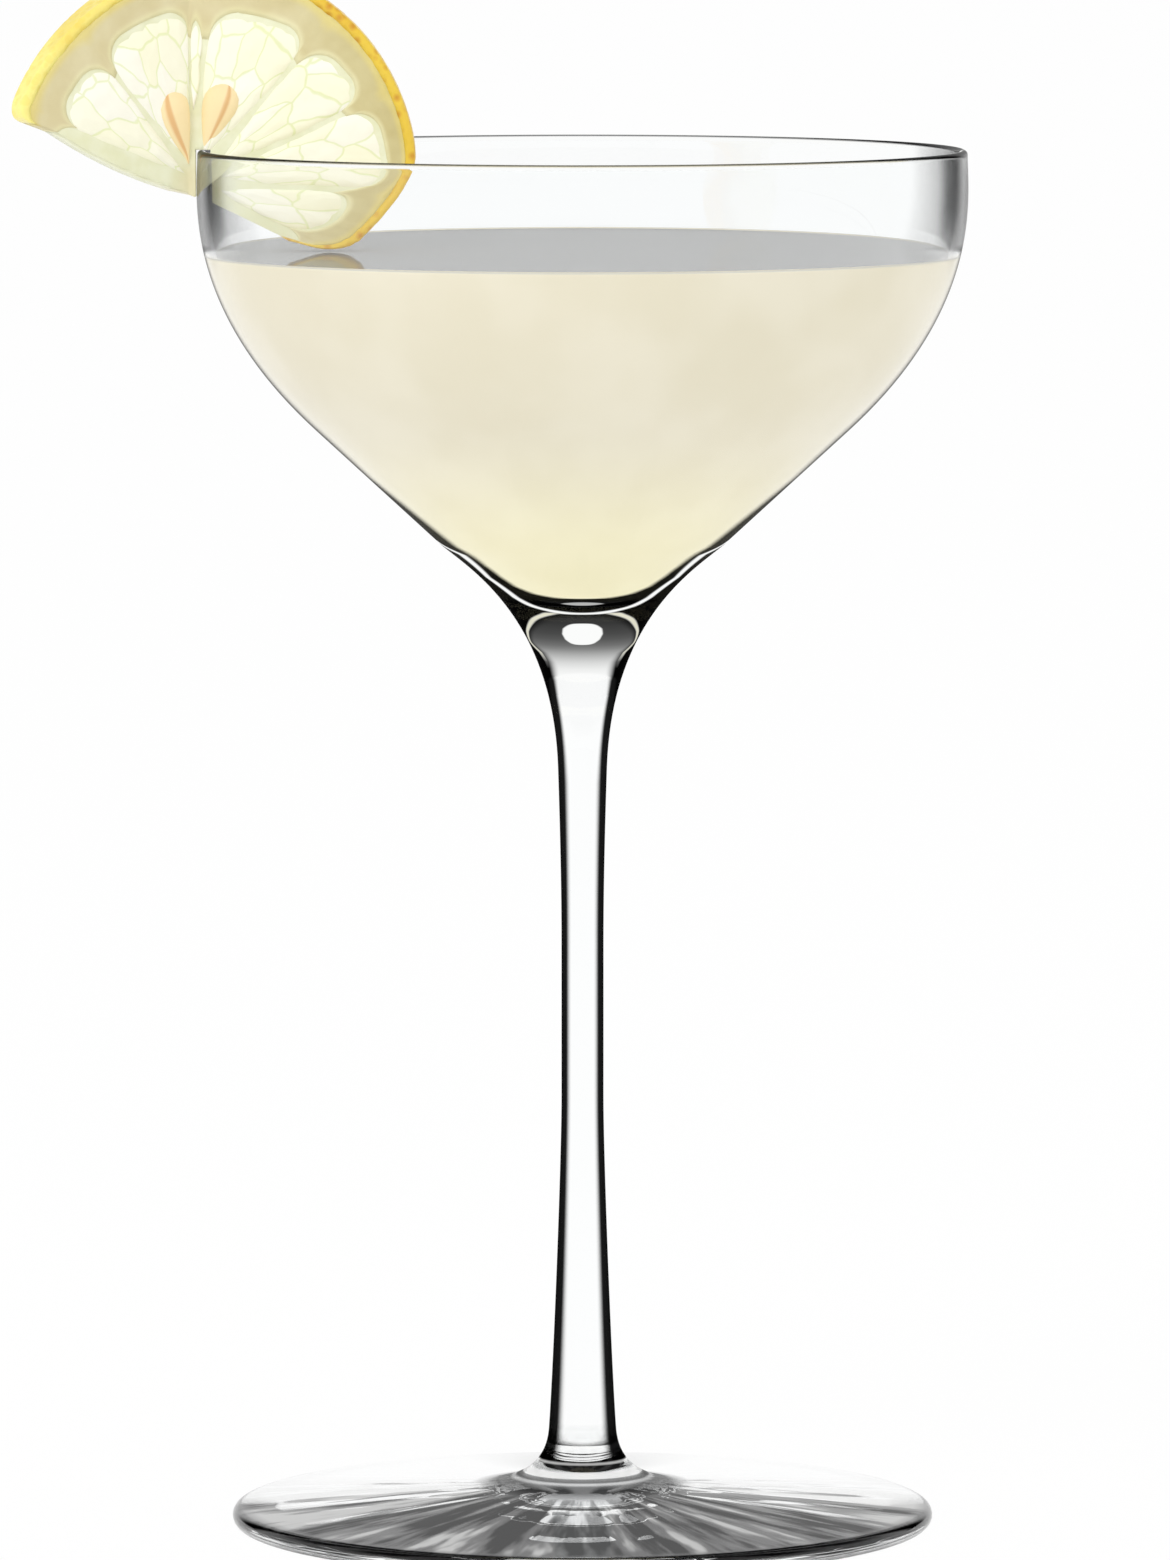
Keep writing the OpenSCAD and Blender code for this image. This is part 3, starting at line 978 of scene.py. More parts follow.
@dataclass(frozen=True)
class GraduatedCard(Finish):
    """Sprayed card, white at its sides and foot and dark in its middle, which draws soft edges in glass."""

    code: str
    # Degrees from straight back between which the card darkens, and between which it is white again
    dark: Point
    fade: Point
    # Heights in metres between which the card darkens
    rise: Point
    # The passes through glass from which on light has met both of the bowl's walls
    walls: float = 3.0

    def shader(self, n: Nodes) -> Socket:
        """Shades the card by direction and height.

        Args:
            n: the material's nodes.

        Returns:
            The shader.
        """
        x, y, z = n.parts(n.place())
        turn = n.calc("ABSOLUTE", n.calc("ARCTAN2", x, y))
        depth = n.remap(turn, *(math.radians(a) for a in self.dark), smooth=True)
        fade = n.remap(turn, *(math.radians(a) for a in self.fade), 1.0, 0.0, smooth=True)
        # One solid piece alone, such as the stem, doesn't show the cards: only light through both of the
        # bowl's walls and light that gloss mirrors do
        solid = n.calc("MULTIPLY", n.path("Is Transmission Ray"),
                       n.calc("LESS_THAN", n.path("Transmission Depth"), self.walls),
                       n.calc("LESS_THAN", n.path("Glossy Depth"), 1.0))
        shown = n.calc("MULTIPLY", depth, fade, n.remap(z, *self.rise, smooth=True), n.less(solid))
        return n.add("Emission", {"Color": n.mixed(shown, WHITE, self.code), "Strength": 1.0})


@dataclass
class Outline:
    """The glass's outline, by the same sizes and curves as its construction."""

    rim_d: float = 92.2
    bowl_h: float = 65.3
    wall: float = 1.1
    cone_wall: float = 1.25
    cone_a: float = 47.4
    cone_top_d: float = 64.1
    cone_low_d: float = 34.6
    cone_top_h: float = 31.8
    floor_r: float = 26.0
    stem_l: float = 91.2
    stem_d: float = 5.06
    neck_d: float = 5.88
    neck_drop: float = 9.0
    slim_drop: float = 30.4
    slim_rise: float = 42.5
    foot_d: float = 84.6
    foot_h: float = 9.5
    root_d: float = 8.12
    root_rise: float = 2.1
    spread_d: float = 24.6
    spread_h: float = 4.7
    edge_t: float = 2.4
    rest_w: float = 4.0
    hollow_h: float = 1.5
    fill_drop: float = 12.5
    # Degrees by which the outline leans at the neck, at the root, and up from level at the spread
    neck_a: float = 1.85
    root_a: float = 4.3
    spread_a: float = 12.0
    # The angle of the foot's edge at which its rounding starts
    edge_a: float = 85.0
    # Each curve's handles, as shares of the lengths that they follow
    shoulder_pulls: Point = (0.125, 0.61)
    flare_pulls: Point = (0.13, 0.61)
    slim_pulls: Point = (0.33, 0.33)
    taper_pulls: Point = (0.2, 0.16)
    heel_pulls: Point = (0.69, 0.56)
    # The inner shoulder's handles, against the outer one's
    inner_share: float = 0.95
    # Points along each curve, and round the lip and the foot's edge
    fine: int = 40
    round: int = 16

    def __post_init__(self) -> None:
        """Works out the heights and the points where curves meet."""
        self.bowl_z = self.foot_h + self.stem_l
        self.rim_z = self.bowl_z + self.bowl_h
        self.drink_z = self.rim_z - self.fill_drop
        self.lip_z = self.rim_z - self.wall / 2
        self.cone_dir = lean(self.cone_a)
        self.cone_top = (self.cone_top_d / 2, self.bowl_z + self.cone_top_h)
        self.shoulder_len = math.dist((self.rim_d / 2, self.rim_z), self.cone_top)

    def lip(self) -> list[Point]:
        """The rounded lip, from the inside over the top to the outside."""
        return arc((self.rim_d / 2 - self.wall / 2, self.lip_z), self.wall / 2, 180, 0, self.round)

    def curve(self, start: Point, way: Point, length: float, end: Point, end_way: Point, end_length: float,
              pulls: Point) -> list[Point]:
        """A falling curve's points, without its first.

        Args:
            start: where it starts.
            way: its upward direction there.
            length: the length that its first handle follows.
            end: where it ends.
            end_way: its upward direction there.
            end_length: the length that its second handle follows.
            pulls: both handles, as shares of the two lengths.

        Returns:
            The points.
        """
        handle = along(start, way, -pulls[0] * length)
        end_handle = along(end, end_way, pulls[1] * end_length)
        return bezier(start, handle, end_handle, end, self.fine)

    def outer(self) -> list[Point]:
        """The outside from just under the lip down to the spread of the foot, as radius and height.

        Returns:
            The points.
        """
        rim = (self.rim_d / 2, self.lip_z)
        low = along(self.cone_top, self.cone_dir, (self.cone_low_d - self.cone_top_d) / 2 / self.cone_dir[0])
        neck = (self.neck_d / 2, self.bowl_z - self.neck_drop)
        slim_top = (self.stem_d / 2, self.bowl_z - self.slim_drop)
        slim_low = (self.stem_d / 2, self.foot_h + self.slim_rise)
        root = (self.root_d / 2, self.foot_h + self.root_rise)
        spread = (self.spread_d / 2, self.spread_h)
        neck_way, root_way, spread_way = lean(self.neck_a), lean(-self.root_a), lean(self.spread_a - 90)
        flare, slim, taper = math.dist(low, neck), neck[1] - slim_top[1], slim_low[1] - root[1]
        return (
            self.curve(rim, UP, self.shoulder_len, self.cone_top, self.cone_dir, self.shoulder_len,
                       self.shoulder_pulls)
            + [low]
            + self.curve(low, self.cone_dir, flare, neck, neck_way, flare, self.flare_pulls)
            + self.curve(neck, neck_way, slim, slim_top, UP, slim, self.slim_pulls)
            + [slim_low]
            + self.curve(slim_low, UP, taper, root, root_way, taper, self.taper_pulls)
            + self.curve(root, root_way, root[1] - spread[1], spread, spread_way, spread[0] - root[0],
                         self.heel_pulls)
        )

    def underside(self) -> list[Point]:
        """The foot from its spread, round the edge and across the hollow underside to the axis.

        Returns:
            The points, as radius and height.
        """
        edge = (self.foot_d / 2 - self.edge_t / 2, self.edge_t / 2)
        rest_in = edge[0] - self.rest_w
        hollow_r = (rest_in**2 + self.hollow_h**2) / 2 / self.hollow_h
        hollow_a = math.degrees(math.asin(rest_in / hollow_r))
        return (
            arc(edge, self.edge_t / 2, self.edge_a, -90, self.round)
            + [(rest_in, 0.0)]
            + arc((0.0, self.hollow_h - hollow_r), hollow_r, 90 - hollow_a, 90, self.fine)[1:]
        )

    def inner(self, outward: float = 0.0) -> list[Point]:
        """The inside of the bowl, from the axis up to the lip, moved into the glass by a distance.

        Args:
            outward: the distance.

        Returns:
            The points, as radius and height.
        """
        top = along(self.cone_top, lean(self.cone_a - 90), self.cone_wall - outward)
        radius = self.floor_r + outward
        centre = (0.0, top[1] - top[0] / math.tan(math.radians(self.cone_a)) + radius / self.cone_dir[0])
        lip = (self.rim_d / 2 - self.wall + outward, self.lip_z)
        length = self.inner_share * self.shoulder_len
        lip_pull, top_pull = self.shoulder_pulls
        return (
            arc(centre, radius, -90, -self.cone_a, self.fine)
            + [top]
            + bezier(top, along(top, self.cone_dir, top_pull * length), along(lip, UP, -lip_pull * length),
                     lip, self.fine)
        )

    def cut(self, points: list[Point], height: float, above: bool) -> list[Point]:
        """The stretch of an outline above or below a height, with a point on the height.

        Args:
            points: the outline.
            height: the height.
            above: whether the stretch above it is kept, and not the one below.

        Returns:
            The stretch's points.
        """
        out: list[Point] = []
        for p, q in zip(points, points[1:] + points[-1:]):
            keep_p, keep_q = (p[1] >= height) == above, (q[1] >= height) == above
            if keep_p:
                out.append(p)
            if keep_p != keep_q:
                t = (height - p[1]) / (q[1] - p[1])
                out.append((lerp(p[0], q[0], t), height))
        return [p for i, p in enumerate(out) if i == 0 or math.dist(p, out[i - 1]) > SAME]


def revolve(name: str, outline: list[Point], materials: list[bpy.types.Material], steps: int,
            caps: tuple[int, ...] = (), wave: Callable[[int, float, float], float] | None = None
            ) -> bpy.types.Object:
    """Turns an outline about the axis into a closed mesh.

    Args:
        name: the object's name.
        outline: points as radius and height, in an order that walks down the outside and up the inside.
        materials: its materials; spans in caps take the second.
        steps: how many faces go round.
        caps: the spans of the outline, by index, that are flat welds.
        wave: how much higher a point lies, from its index in the outline, radius and angle.

    Returns:
        The object.
    """
    verts: list[Point3] = []
    rings: list[list[int]] = []
    for index, (r, z) in enumerate(outline):
        first = len(verts)
        if r < SAME:
            rings.append([first] * steps)
            verts.append((0.0, 0.0, z))
            continue
        rings.append(list(range(first, first + steps)))
        for a in (2 * math.pi * i / steps for i in range(steps)):
            verts.append((r * math.cos(a), r * math.sin(a), z + (wave(index, r, a) if wave else 0.0)))
    faces: list[tuple[int, ...]] = []
    slots: list[int] = []
    flats: set[int] = set()
    for k, (upper, lower) in enumerate(zip(rings, rings[1:])):
        for i in range(steps):
            j = (i + 1) % steps
            face = tuple(dict.fromkeys((upper[i], lower[i], lower[j], upper[j])))
            if len(face) < 3:
                continue
            if k in caps:
                flats.add(len(faces))
            slots.append(int(k in caps))
            faces.append(face)
    return make_object(name, verts, faces, materials, slots, flats)


@dataclass
class Glass:
    """The blown bowl, the drawn stem and the foot, welded to each other."""

    outline: Outline
    steps: int = 240
    # Depth and height of the faint waist where two gathers are welded
    weld_depth: float = 0.004
    weld_h: float = 0.35
    # The longest span of the outline, on the stem and beyond the stem's radius
    stem_span: float = 0.6
    span: float = 1.5
    stem_r: float = 6.0
    # Height of the waves under the foot, how many go round it, where they start, and how far they reach
    wave_h: float = 0.06
    waves: int = 20
    wave_from: float = 6.0
    wave_w: float = 32.0
    # Shares of the waves' two strands, and the second one's pace
    strands: Point = (0.6, 0.4)
    strand_pace: float = 1.7
    # Painted shade at each piece's edges by height: where it starts and is darkest by facing, and its
    # greatest share
    bowl_tones: tuple[EdgeTone, ...] = tuple(EdgeTone(*row) for row in (
        (100.0, 0.3, 0.42, 0.99), (103.0, 0.27, 0.4, 0.99), (104.5, 0.0, 0.05, 0.99),
        (112.76, 0.0, 0.05, 0.99), (112.84, 0.27, 0.34, 0.99), (113.4, 0.4, 0.46, 0.99),
        (114.24, 0.51, 0.57, 0.99), (115.4, 0.59, 0.65, 0.99), (116.8, 0.65, 0.71, 0.98),
        (119.36, 0.69, 0.78, 0.95), (127.0, 0.82, 0.95, 0.9), (154.0, 0.86, 0.97, 0.8),
        (155.0, 0.5, 0.8, 0.47), (165.75, 0.5, 0.8, 0.47), (165.85, 0.0, 0.4, 0.75), (166.1, 0.0, 0.4, 0.75),
    ))
    stem_tones: tuple[EdgeTone, ...] = tuple(EdgeTone(*row) for row in (
        (9.0, 0.14, 0.36, 0.99), (90.0, 0.14, 0.36, 0.99), (101.0, 0.3, 0.42, 0.99),
    ))
    foot_tones: tuple[EdgeTone, ...] = tuple(EdgeTone(*row) for row in (
        (0.0, 0.97, 1.0, 0.3), (7.9, 0.97, 1.0, 0.3), (8.15, 0.14, 0.36, 0.99), (9.6, 0.14, 0.36, 0.99),
    ))
    # Height above which mirror images leave out the foot
    foot_unmirrored_z: float = 4.0

    def build(self) -> None:
        """Makes the three pieces of glass."""
        o = self.outline
        joint = FusedJoint().material()
        outer = self.refined(o.outer())
        above = self.welded(o.cut(outer, o.bowl_z, True))
        middle = self.welded(o.cut(o.cut(outer, o.bowl_z, False), o.foot_h, True))
        below = self.welded(o.cut(outer, o.foot_h, False))
        # The bowl walks from the inside floor, up, over the lip, down the outside and in along the weld
        walk = o.inner()[:-1] + o.lip() + above + [(0.0, o.bowl_z)]
        finish = BowlCrystal("blown_crystal_bowl", self.bowl_tones)
        bowl = revolve("blown_bowl", walk, [finish.material(), joint], self.steps, (len(walk) - 2,))
        settle(bowl, Body.GLASS, "bowl")
        walk = [(0.0, o.bowl_z)] + middle + [(0.0, o.foot_h)]
        finish = BlownCrystal("drawn_crystal_stem", self.stem_tones, unmirrored_z=0.0)
        stem = revolve("drawn_stem", walk, [finish.material(), joint], self.steps, (0, len(walk) - 2))
        settle(stem, Body.GLASS, "stem")
        walk = [(0.0, o.foot_h)] + below + o.underside()
        hollow = len(walk) - o.fine - 1
        finish = FootCrystal("cast_crystal_foot", self.foot_tones, unmirrored_z=self.foot_unmirrored_z)
        foot = revolve("cast_foot", walk, [finish.material(), joint], self.steps * 2, (0,),
                       lambda index, r, a: self.wave(r, a) if index > hollow else 0.0)
        settle(foot, Body.GLASS, "foot")

    def wave(self, r: float, a: float) -> float:
        """The height of the underside's faint radial waves, from pressing the foot while it was soft.

        Args:
            r: the radius.
            a: the angle in radians.

        Returns:
            The height.
        """
        reach = math.sin(math.pi * min(1.0, max(0.0, (r - self.wave_from) / self.wave_w)))
        strands = self.strands[0] * math.sin(self.waves * a)
        strands += self.strands[1] * math.sin(self.strand_pace * self.waves * a)
        return self.wave_h * reach * (1 + strands)

    def welded(self, points: list[Point]) -> list[Point]:
        """Draws the outline in a little at each weld."""
        heights = (self.outline.bowl_z, self.outline.foot_h)
        return [(r - self.weld_depth * sum(bell(z - h, self.weld_h) for h in heights), z) for r, z in points]

    def refined(self, points: list[Point]) -> list[Point]:
        """Splits long spans, so that the welds and highlights have points to follow.

        Args:
            points: the outline.

        Returns:
            The outline with more points.
        """
        out = [points[0]]
        for p, q in zip(points, points[1:]):
            parts = max(1, round(math.dist(p, q) / (self.stem_span if p[0] < self.stem_r else self.span)))
            out.extend(between(p, q, i / parts) for i in range(1, parts + 1))
        return out


@dataclass
class Drink:
    """The drink, which wets the bowl and creeps up its wall."""

    outline: Outline
    steps: int = 240
    # How far the drink's skin lies inside the glass, so that no air shows between them
    soak: float = 0.04
    # Height and width of the meniscus, how fast it falls, and its points
    creep_h: float = 0.15
    creep_w: float = 1.6
    creep_fall: float = 3.2
    creep_steps: int = 24
    # How far under the level a face still counts as the surface
    slack: float = 0.0001

    def build(self) -> None:
        """Makes the drink."""
        o = self.outline
        level = o.drink_z
        wet = o.cut(o.inner(self.soak), level + self.creep_h, False)
        surface = [(0.0, level)]
        for i in range(self.creep_steps, 0, -1):
            t = i / self.creep_steps
            rise = math.exp(-self.creep_fall * t) - math.exp(-self.creep_fall)
            surface.append((wet[-1][0] - self.creep_w * t, level + self.creep_h * rise))
        finishes = [CloudyCocktail().material(), CocktailSurface().material()]
        drink = revolve("poured_drink", surface + wet[::-1], finishes, self.steps)
        for face in drink.data.polygons:
            if all(drink.data.vertices[v].co.z >= (level - self.slack) * MM for v in face.vertices):
                face.material_index = 1
        settle(drink, Body.GLASS, "drink")


@dataclass(frozen=True)
class Segment:
    """One segment of the wheel: its first and last angle, and shares of the wheel's radius."""

    first: float
    last: float
    tip: float
    first_share: float
    last_share: float

    @property
    def middle(self) -> float:
        """Its middle angle."""
        return (self.first + self.last) / 2


@dataclass
class LemonPattern:
    """The half wheel before it is bent: x to the right and z up from the wheel's centre."""

    lemon_r: float = 27.4
    slice_t: float = 4.6
    zest_t: float = 1.2
    skin_t: float = 0.34
    # The least thickness of the pith
    pith_least: float = 0.25
    core_foot: Point = (0.45, -1.4)
    slit_w: float = 1.85
    # How far the slit's left wall stands off the core's foot, so that the two never share a plane
    slit_step: float = 0.013
    slit_top: float = 4.24
    cut_right_a: float = -31.0
    cut_left_a: float = 161.0
    cut_bulge_share: float = 0.03
    # Depth and width of the valley where two segments meet
    valley_depth: float = 3.3
    valley_w: float = 3.2
    # Depth and spacing of the lobes that juice sacs make along a segment's outer edge, where the spacing
    # holds, and how sharp the notches between them are
    lobe_depth: float = 0.3
    lobe_w: float = 2.3
    lobe_r: float = 20.0
    lobe_power: float = 1.5
    # How many degrees a segment gains at each side, how soon it reaches its full angle, and how its sides
    # wave: the degrees, and how fast
    side_widen_a: float = 0.65
    side_fullness: float = 5.6
    side_bow_a: float = 0.5
    side_bow_pace: float = 9.0
    # What is left of a segment's tip, the points along each side, and along the outer edge: the least, and
    # those for each degree
    tip_share: float = 0.65
    side_points: int = 26
    edge_least: int = 16
    edge_points: float = 2.6
    # How far the left corner of the rind is rounded off, along the rind and inward
    corner_a: float = 5.0
    corner_depth: float = 1.5
    # Steps from one cut edge to the other, shared by the rind and the membranes
    turns: int = 520
    rim_shares: tuple[Point, ...] = (
        (-90, 0.50), (-31, 0.50), (-27, 0.64), (-22.5, 0.735), (-19.5, 0.775), (-9, 0.86), (0, 0.94),
        (7, 0.985), (20, 0.995), (47, 1.0), (80, 0.985), (120, 0.94), (161, 0.96), (220, 0.96),
    )
    segments: tuple[Segment, ...] = (
        Segment(132, 157, 0.12, 0.745, 0.76), Segment(94, 129.5, 0.10, 0.76, 0.755),
        Segment(86, 90.5, 0.50, 0.75, 0.75), Segment(51, 83, 0.20, 0.82, 0.75),
        Segment(26.5, 48.5, 0.20, 0.84, 0.81), Segment(-1.5, 24, 0.17, 0.85, 0.85),
        Segment(-25, -4.5, 0.19, 0.56, 0.73),
    )

    def angles(self) -> list[float]:
        """The angles of all steps from the right cut edge to the left one."""
        return [lerp(self.cut_right_a, self.cut_left_a, i / self.turns) for i in range(self.turns + 1)]

    def wheel_r(self, angle: float) -> float:
        """The wheel's radius to the outside of the zest, at an angle in degrees.

        Args:
            angle: the angle.

        Returns:
            The radius.
        """
        table = self.rim_shares
        i = max(k for k in range(len(table) - 1) if table[k][0] <= angle or k == 0)
        t = (angle - table[i][0]) / (table[i + 1][0] - table[i][0])
        a, b, c, d = (table[max(0, min(len(table) - 1, k))][1] for k in (i - 1, i, i + 1, i + 2))
        share = b + t * (c - a) / 2 + t * t * (a - 2.5 * b + 2 * c - d / 2)
        share += t**3 * (1.5 * (b - c) + (d - a) / 2)
        near = max(0.0, 1 - (self.cut_left_a - angle) / self.corner_a)
        return self.lemon_r * share - self.corner_depth * (1 - math.sqrt(max(0.0, 1 - near * near)))

    def skin_r(self, angle: float) -> float:
        """The radius to the outside of the segments' skin, with a valley where two segments meet.

        Args:
            angle: the angle in degrees.

        Returns:
            The radius.
        """
        seg = next((s for s in self.segments if s.first <= angle <= s.last), None)
        if seg:
            t = (angle - seg.first) / (seg.last - seg.first)
            radius = self.lemon_r * lerp(seg.first_share, seg.last_share, t)
            reach = math.radians(min(angle - seg.first, seg.last - angle)) * radius
        else:
            ends = sorted([(s.first, s.first_share) for s in self.segments]
                          + [(s.last, s.last_share) for s in self.segments])
            below = [end for end in ends if end[0] <= angle]
            above = [end for end in ends if end[0] > angle]
            low, high = (below or above[:1])[-1], (above or below[-1:])[0]
            t = (angle - low[0]) / (high[0] - low[0]) if high[0] > low[0] else 0.0
            radius = self.lemon_r * lerp(low[1], high[1], smooth_step(t))
            reach = 0.0 if below and above else abs(math.radians(angle - low[0])) * radius
        near = max(0.0, 1 - reach / self.valley_w)
        dip = self.valley_depth * (1 - math.sqrt(1 - near * near))
        return min(radius + self.skin_t - dip, self.wheel_r(angle) - self.zest_t - self.pith_least)

    def segment_outline(self, seg: Segment) -> list[Point]:
        """One segment's outline, from its tip up its right side, along its outer edge and back.

        Args:
            seg: the segment.

        Returns:
            The outline's points.
        """
        count = max(self.edge_least, round((seg.last - seg.first) * self.edge_points))
        outer = []
        for i in range(count + 1):
            t = (1 - math.cos(math.pi * i / count)) / 2
            a = lerp(seg.first - self.side_widen_a, seg.last + self.side_widen_a, t)
            lobe = abs(math.sin(math.pi * math.radians(a) * self.lobe_r / self.lobe_w + seg.first))
            depth = self.lobe_depth * (1 - lobe) ** self.lobe_power * math.sin(math.pi * t)
            outer.append(polar(self.skin_r(lerp(seg.first, seg.last, t)) - self.skin_t - depth, a))
        half = (seg.last - seg.first) / 2 + self.side_widen_a
        tip_r = self.lemon_r * seg.tip * self.tip_share
        right, left = [], []
        for side, way, end in ((right, -1, outer[0]), (left, 1, outer[-1])):
            for i in range(1, self.side_points):
                t = i / self.side_points
                bow = self.side_bow_a * math.sin(self.side_bow_pace * t + seg.first) * math.sin(math.pi * t)
                a = seg.middle + way * (half + bow) * (1 - (1 - t) ** self.side_fullness)
                side.append(polar(lerp(tip_r, math.hypot(*end), t), a))
        return [polar(tip_r, seg.middle)] + right + outer + left[::-1]

    def left_cut(self, count: int) -> list[Point]:
        """The left cut edge, from the zest in to the core.

        Args:
            count: how many points.

        Returns:
            The points, without the first.
        """
        start = polar(self.skin_r(self.cut_left_a), self.cut_left_a)
        middle = along(between(start, self.core_foot, 0.5), UP, -2 * self.cut_bulge_share * self.lemon_r)
        return bezier(start, between(start, middle, 2 / 3), between(self.core_foot, middle, 2 / 3),
                      self.core_foot, count)


@dataclass
class FlatPiece:
    """A piece of the wheel in flat coordinates: x, depth from front to back, and z."""

    verts: list[Point3] = field(default_factory=list)
    faces: list[tuple[int, ...]] = field(default_factory=list)

    @classmethod
    def fan(cls, centre: Point, rim: list[Point], closed: bool, rings: int, front: Depth, back: Depth,
            crowd: float = 1.5) -> "FlatPiece":
        """Fills an outline that a centre sees all of.

        Args:
            centre: the point that rays start from.
            rim: the outline's points.
            closed: whether the rays go all the way round; if not, the centre is a corner of the outline.
            rings: how many rings lie between the centre and the outline.
            front: gives the front's depth.
            back: gives the back's depth.
            crowd: how much closer the rings lie toward the outline.

        Returns:
            The closed piece.
        """
        piece = cls()
        n = len(rim)
        for depth in (front, back):
            piece.verts.append((centre[0], depth(0.0, *centre), centre[1]))
            for k in range(1, rings + 1):
                t = 1 - (1 - k / rings) ** crowd
                for point in rim:
                    x, z = between(centre, point, t)
                    piece.verts.append((x, depth(t, x, z), z))

        def at(side: int, k: int, i: int) -> int:
            """The index of a point by its side, ring and ray."""
            return side * (1 + rings * n) + (1 + (k - 1) * n + i if k else 0)

        for i in range(n if closed else n - 1):
            j = (i + 1) % n
            for side in (0, 1):
                for k in range(rings):
                    quad = (at(side, k, i), at(side, k + 1, i), at(side, k + 1, j), at(side, k, j))
                    piece.faces.append(tuple(dict.fromkeys(quad if side else reversed(quad))))
            piece.faces.append((at(0, rings, i), at(0, rings, j), at(1, rings, j), at(1, rings, i)))
        for i in () if closed else (0, n - 1):
            for k in range(rings):
                quad = (at(0, k, i), at(0, k + 1, i), at(1, k + 1, i), at(1, k, i))
                piece.faces.append(tuple(dict.fromkeys(quad)))
        return piece

    @classmethod
    def sweep(cls, loops: list[list[Point3]]) -> "FlatPiece":
        """Joins closed loops, one after another, and closes both ends.

        Args:
            loops: the loops, all with the same number of points.

        Returns:
            The closed piece.
        """
        piece = cls([p for loop in loops for p in loop])
        n = len(loops[0])
        for k in range(len(loops) - 1):
            for i in range(n):
                j = (i + 1) % n
                piece.faces.append((k * n + i, k * n + j, (k + 1) * n + j, (k + 1) * n + i))
        piece.faces.append(tuple(reversed(range(n))))
        piece.faces.append(tuple(range((len(loops) - 1) * n, len(loops) * n)))
        return piece


@dataclass(frozen=True)
class Seed:
    """Where a seed lies: its point's distance from the wheel's centre, its direction in degrees, its
    length, and where its crease runs round it, in radians from the front."""

    start: float
    angle: float
    length: float
    crease: float


@dataclass
class Rind:
    """The small forms of zest and pith."""

    # Rounding of the zest's edges, and the points on it and across the zest
    round_r: float = 0.5
    round_points: int = 5
    flat_points: int = 10
    # How much the line between zest and pith wanders, and how often in a turn
    line_w: float = 0.12
    line_pace: float = 22.0
    # Size, width and depth of the oil glands' pits, and how deep into the zest they are looked for
    pit_mm: float = 1.15
    pit_w: float = 0.42
    pit_depth: float = 0.09
    pit_reach: float = 0.6
    # How far the pith runs under the zest and under the skin
    zest_lap: float = 0.1
    skin_lap: float = 0.06
    # How deep the pith sinks at the skin, how rough it is, and the spans across it
    sink: float = 0.14
    rough: float = 0.1
    rough_least: float = 0.6
    spans: int = 8

    def zest_line(self, zest_in: float, angle: float) -> float:
        """The radius of the line between zest and pith."""
        x, y = polar(self.line_pace, angle)
        return zest_in + self.line_w * noise.noise(Vector((x, y, 1.0)))

    def zest(self, r_in: float, r: float, half: float, angle: float) -> list[Point]:
        """The zest's cross section as radius and depth, pitted, from the front round to the back.

        Args:
            r_in: the radius where the zest meets the pith.
            r: the radius of the zest's outside.
            half: half the wheel's thickness.
            angle: the angle in degrees.

        Returns:
            The section's points.
        """
        middle, corner = lerp(r_in, r, 0.5), r - self.round_r
        section = [(r_in, -half), (middle, -half)]
        section += [(c, d - half + self.round_r) for c, d in arc((corner, 0.0), self.round_r, -90, 0,
                                                                 self.round_points)]
        section += [(r, lerp(-half + self.round_r, half - self.round_r, k / self.flat_points))
                    for k in range(1, self.flat_points)]
        section += [(c, d + half - self.round_r) for c, d in arc((corner, 0.0), self.round_r, 0, 90,
                                                                 self.round_points)]
        section += [(middle, half), (r_in, half)]
        out = []
        for c, d in section:
            x, z = polar(c, angle)
            pit = 1.0
            if c > r - self.pit_reach:
                pit = noise.voronoi(Vector((x, d, z)) / self.pit_mm)[0][0]
            out.append((c - self.pit_depth * max(0.0, 1 - pit / self.pit_w), d))
        return out

    def pith(self, inner: float, outer: float, half: float, angle: float) -> list[Point]:
        """The pith's cross section as radius and depth, with its uneven faces.

        Args:
            inner: the radius of the pith's inside.
            outer: the radius of its outside.
            half: half the wheel's thickness.
            angle: the angle in degrees.

        Returns:
            The section's points.
        """
        face = []
        for t in (k / self.spans for k in range(self.spans + 1)):
            lump = self.rough_least + noise.noise(Vector((angle / 3, t * 2, 2.0)))
            depth = -half + self.sink * (1 - t) + self.rough * math.sin(math.pi * t) * lump
            face.append((lerp(inner, outer, t), depth))
        return face + [(c, -d) for c, d in reversed(face)]


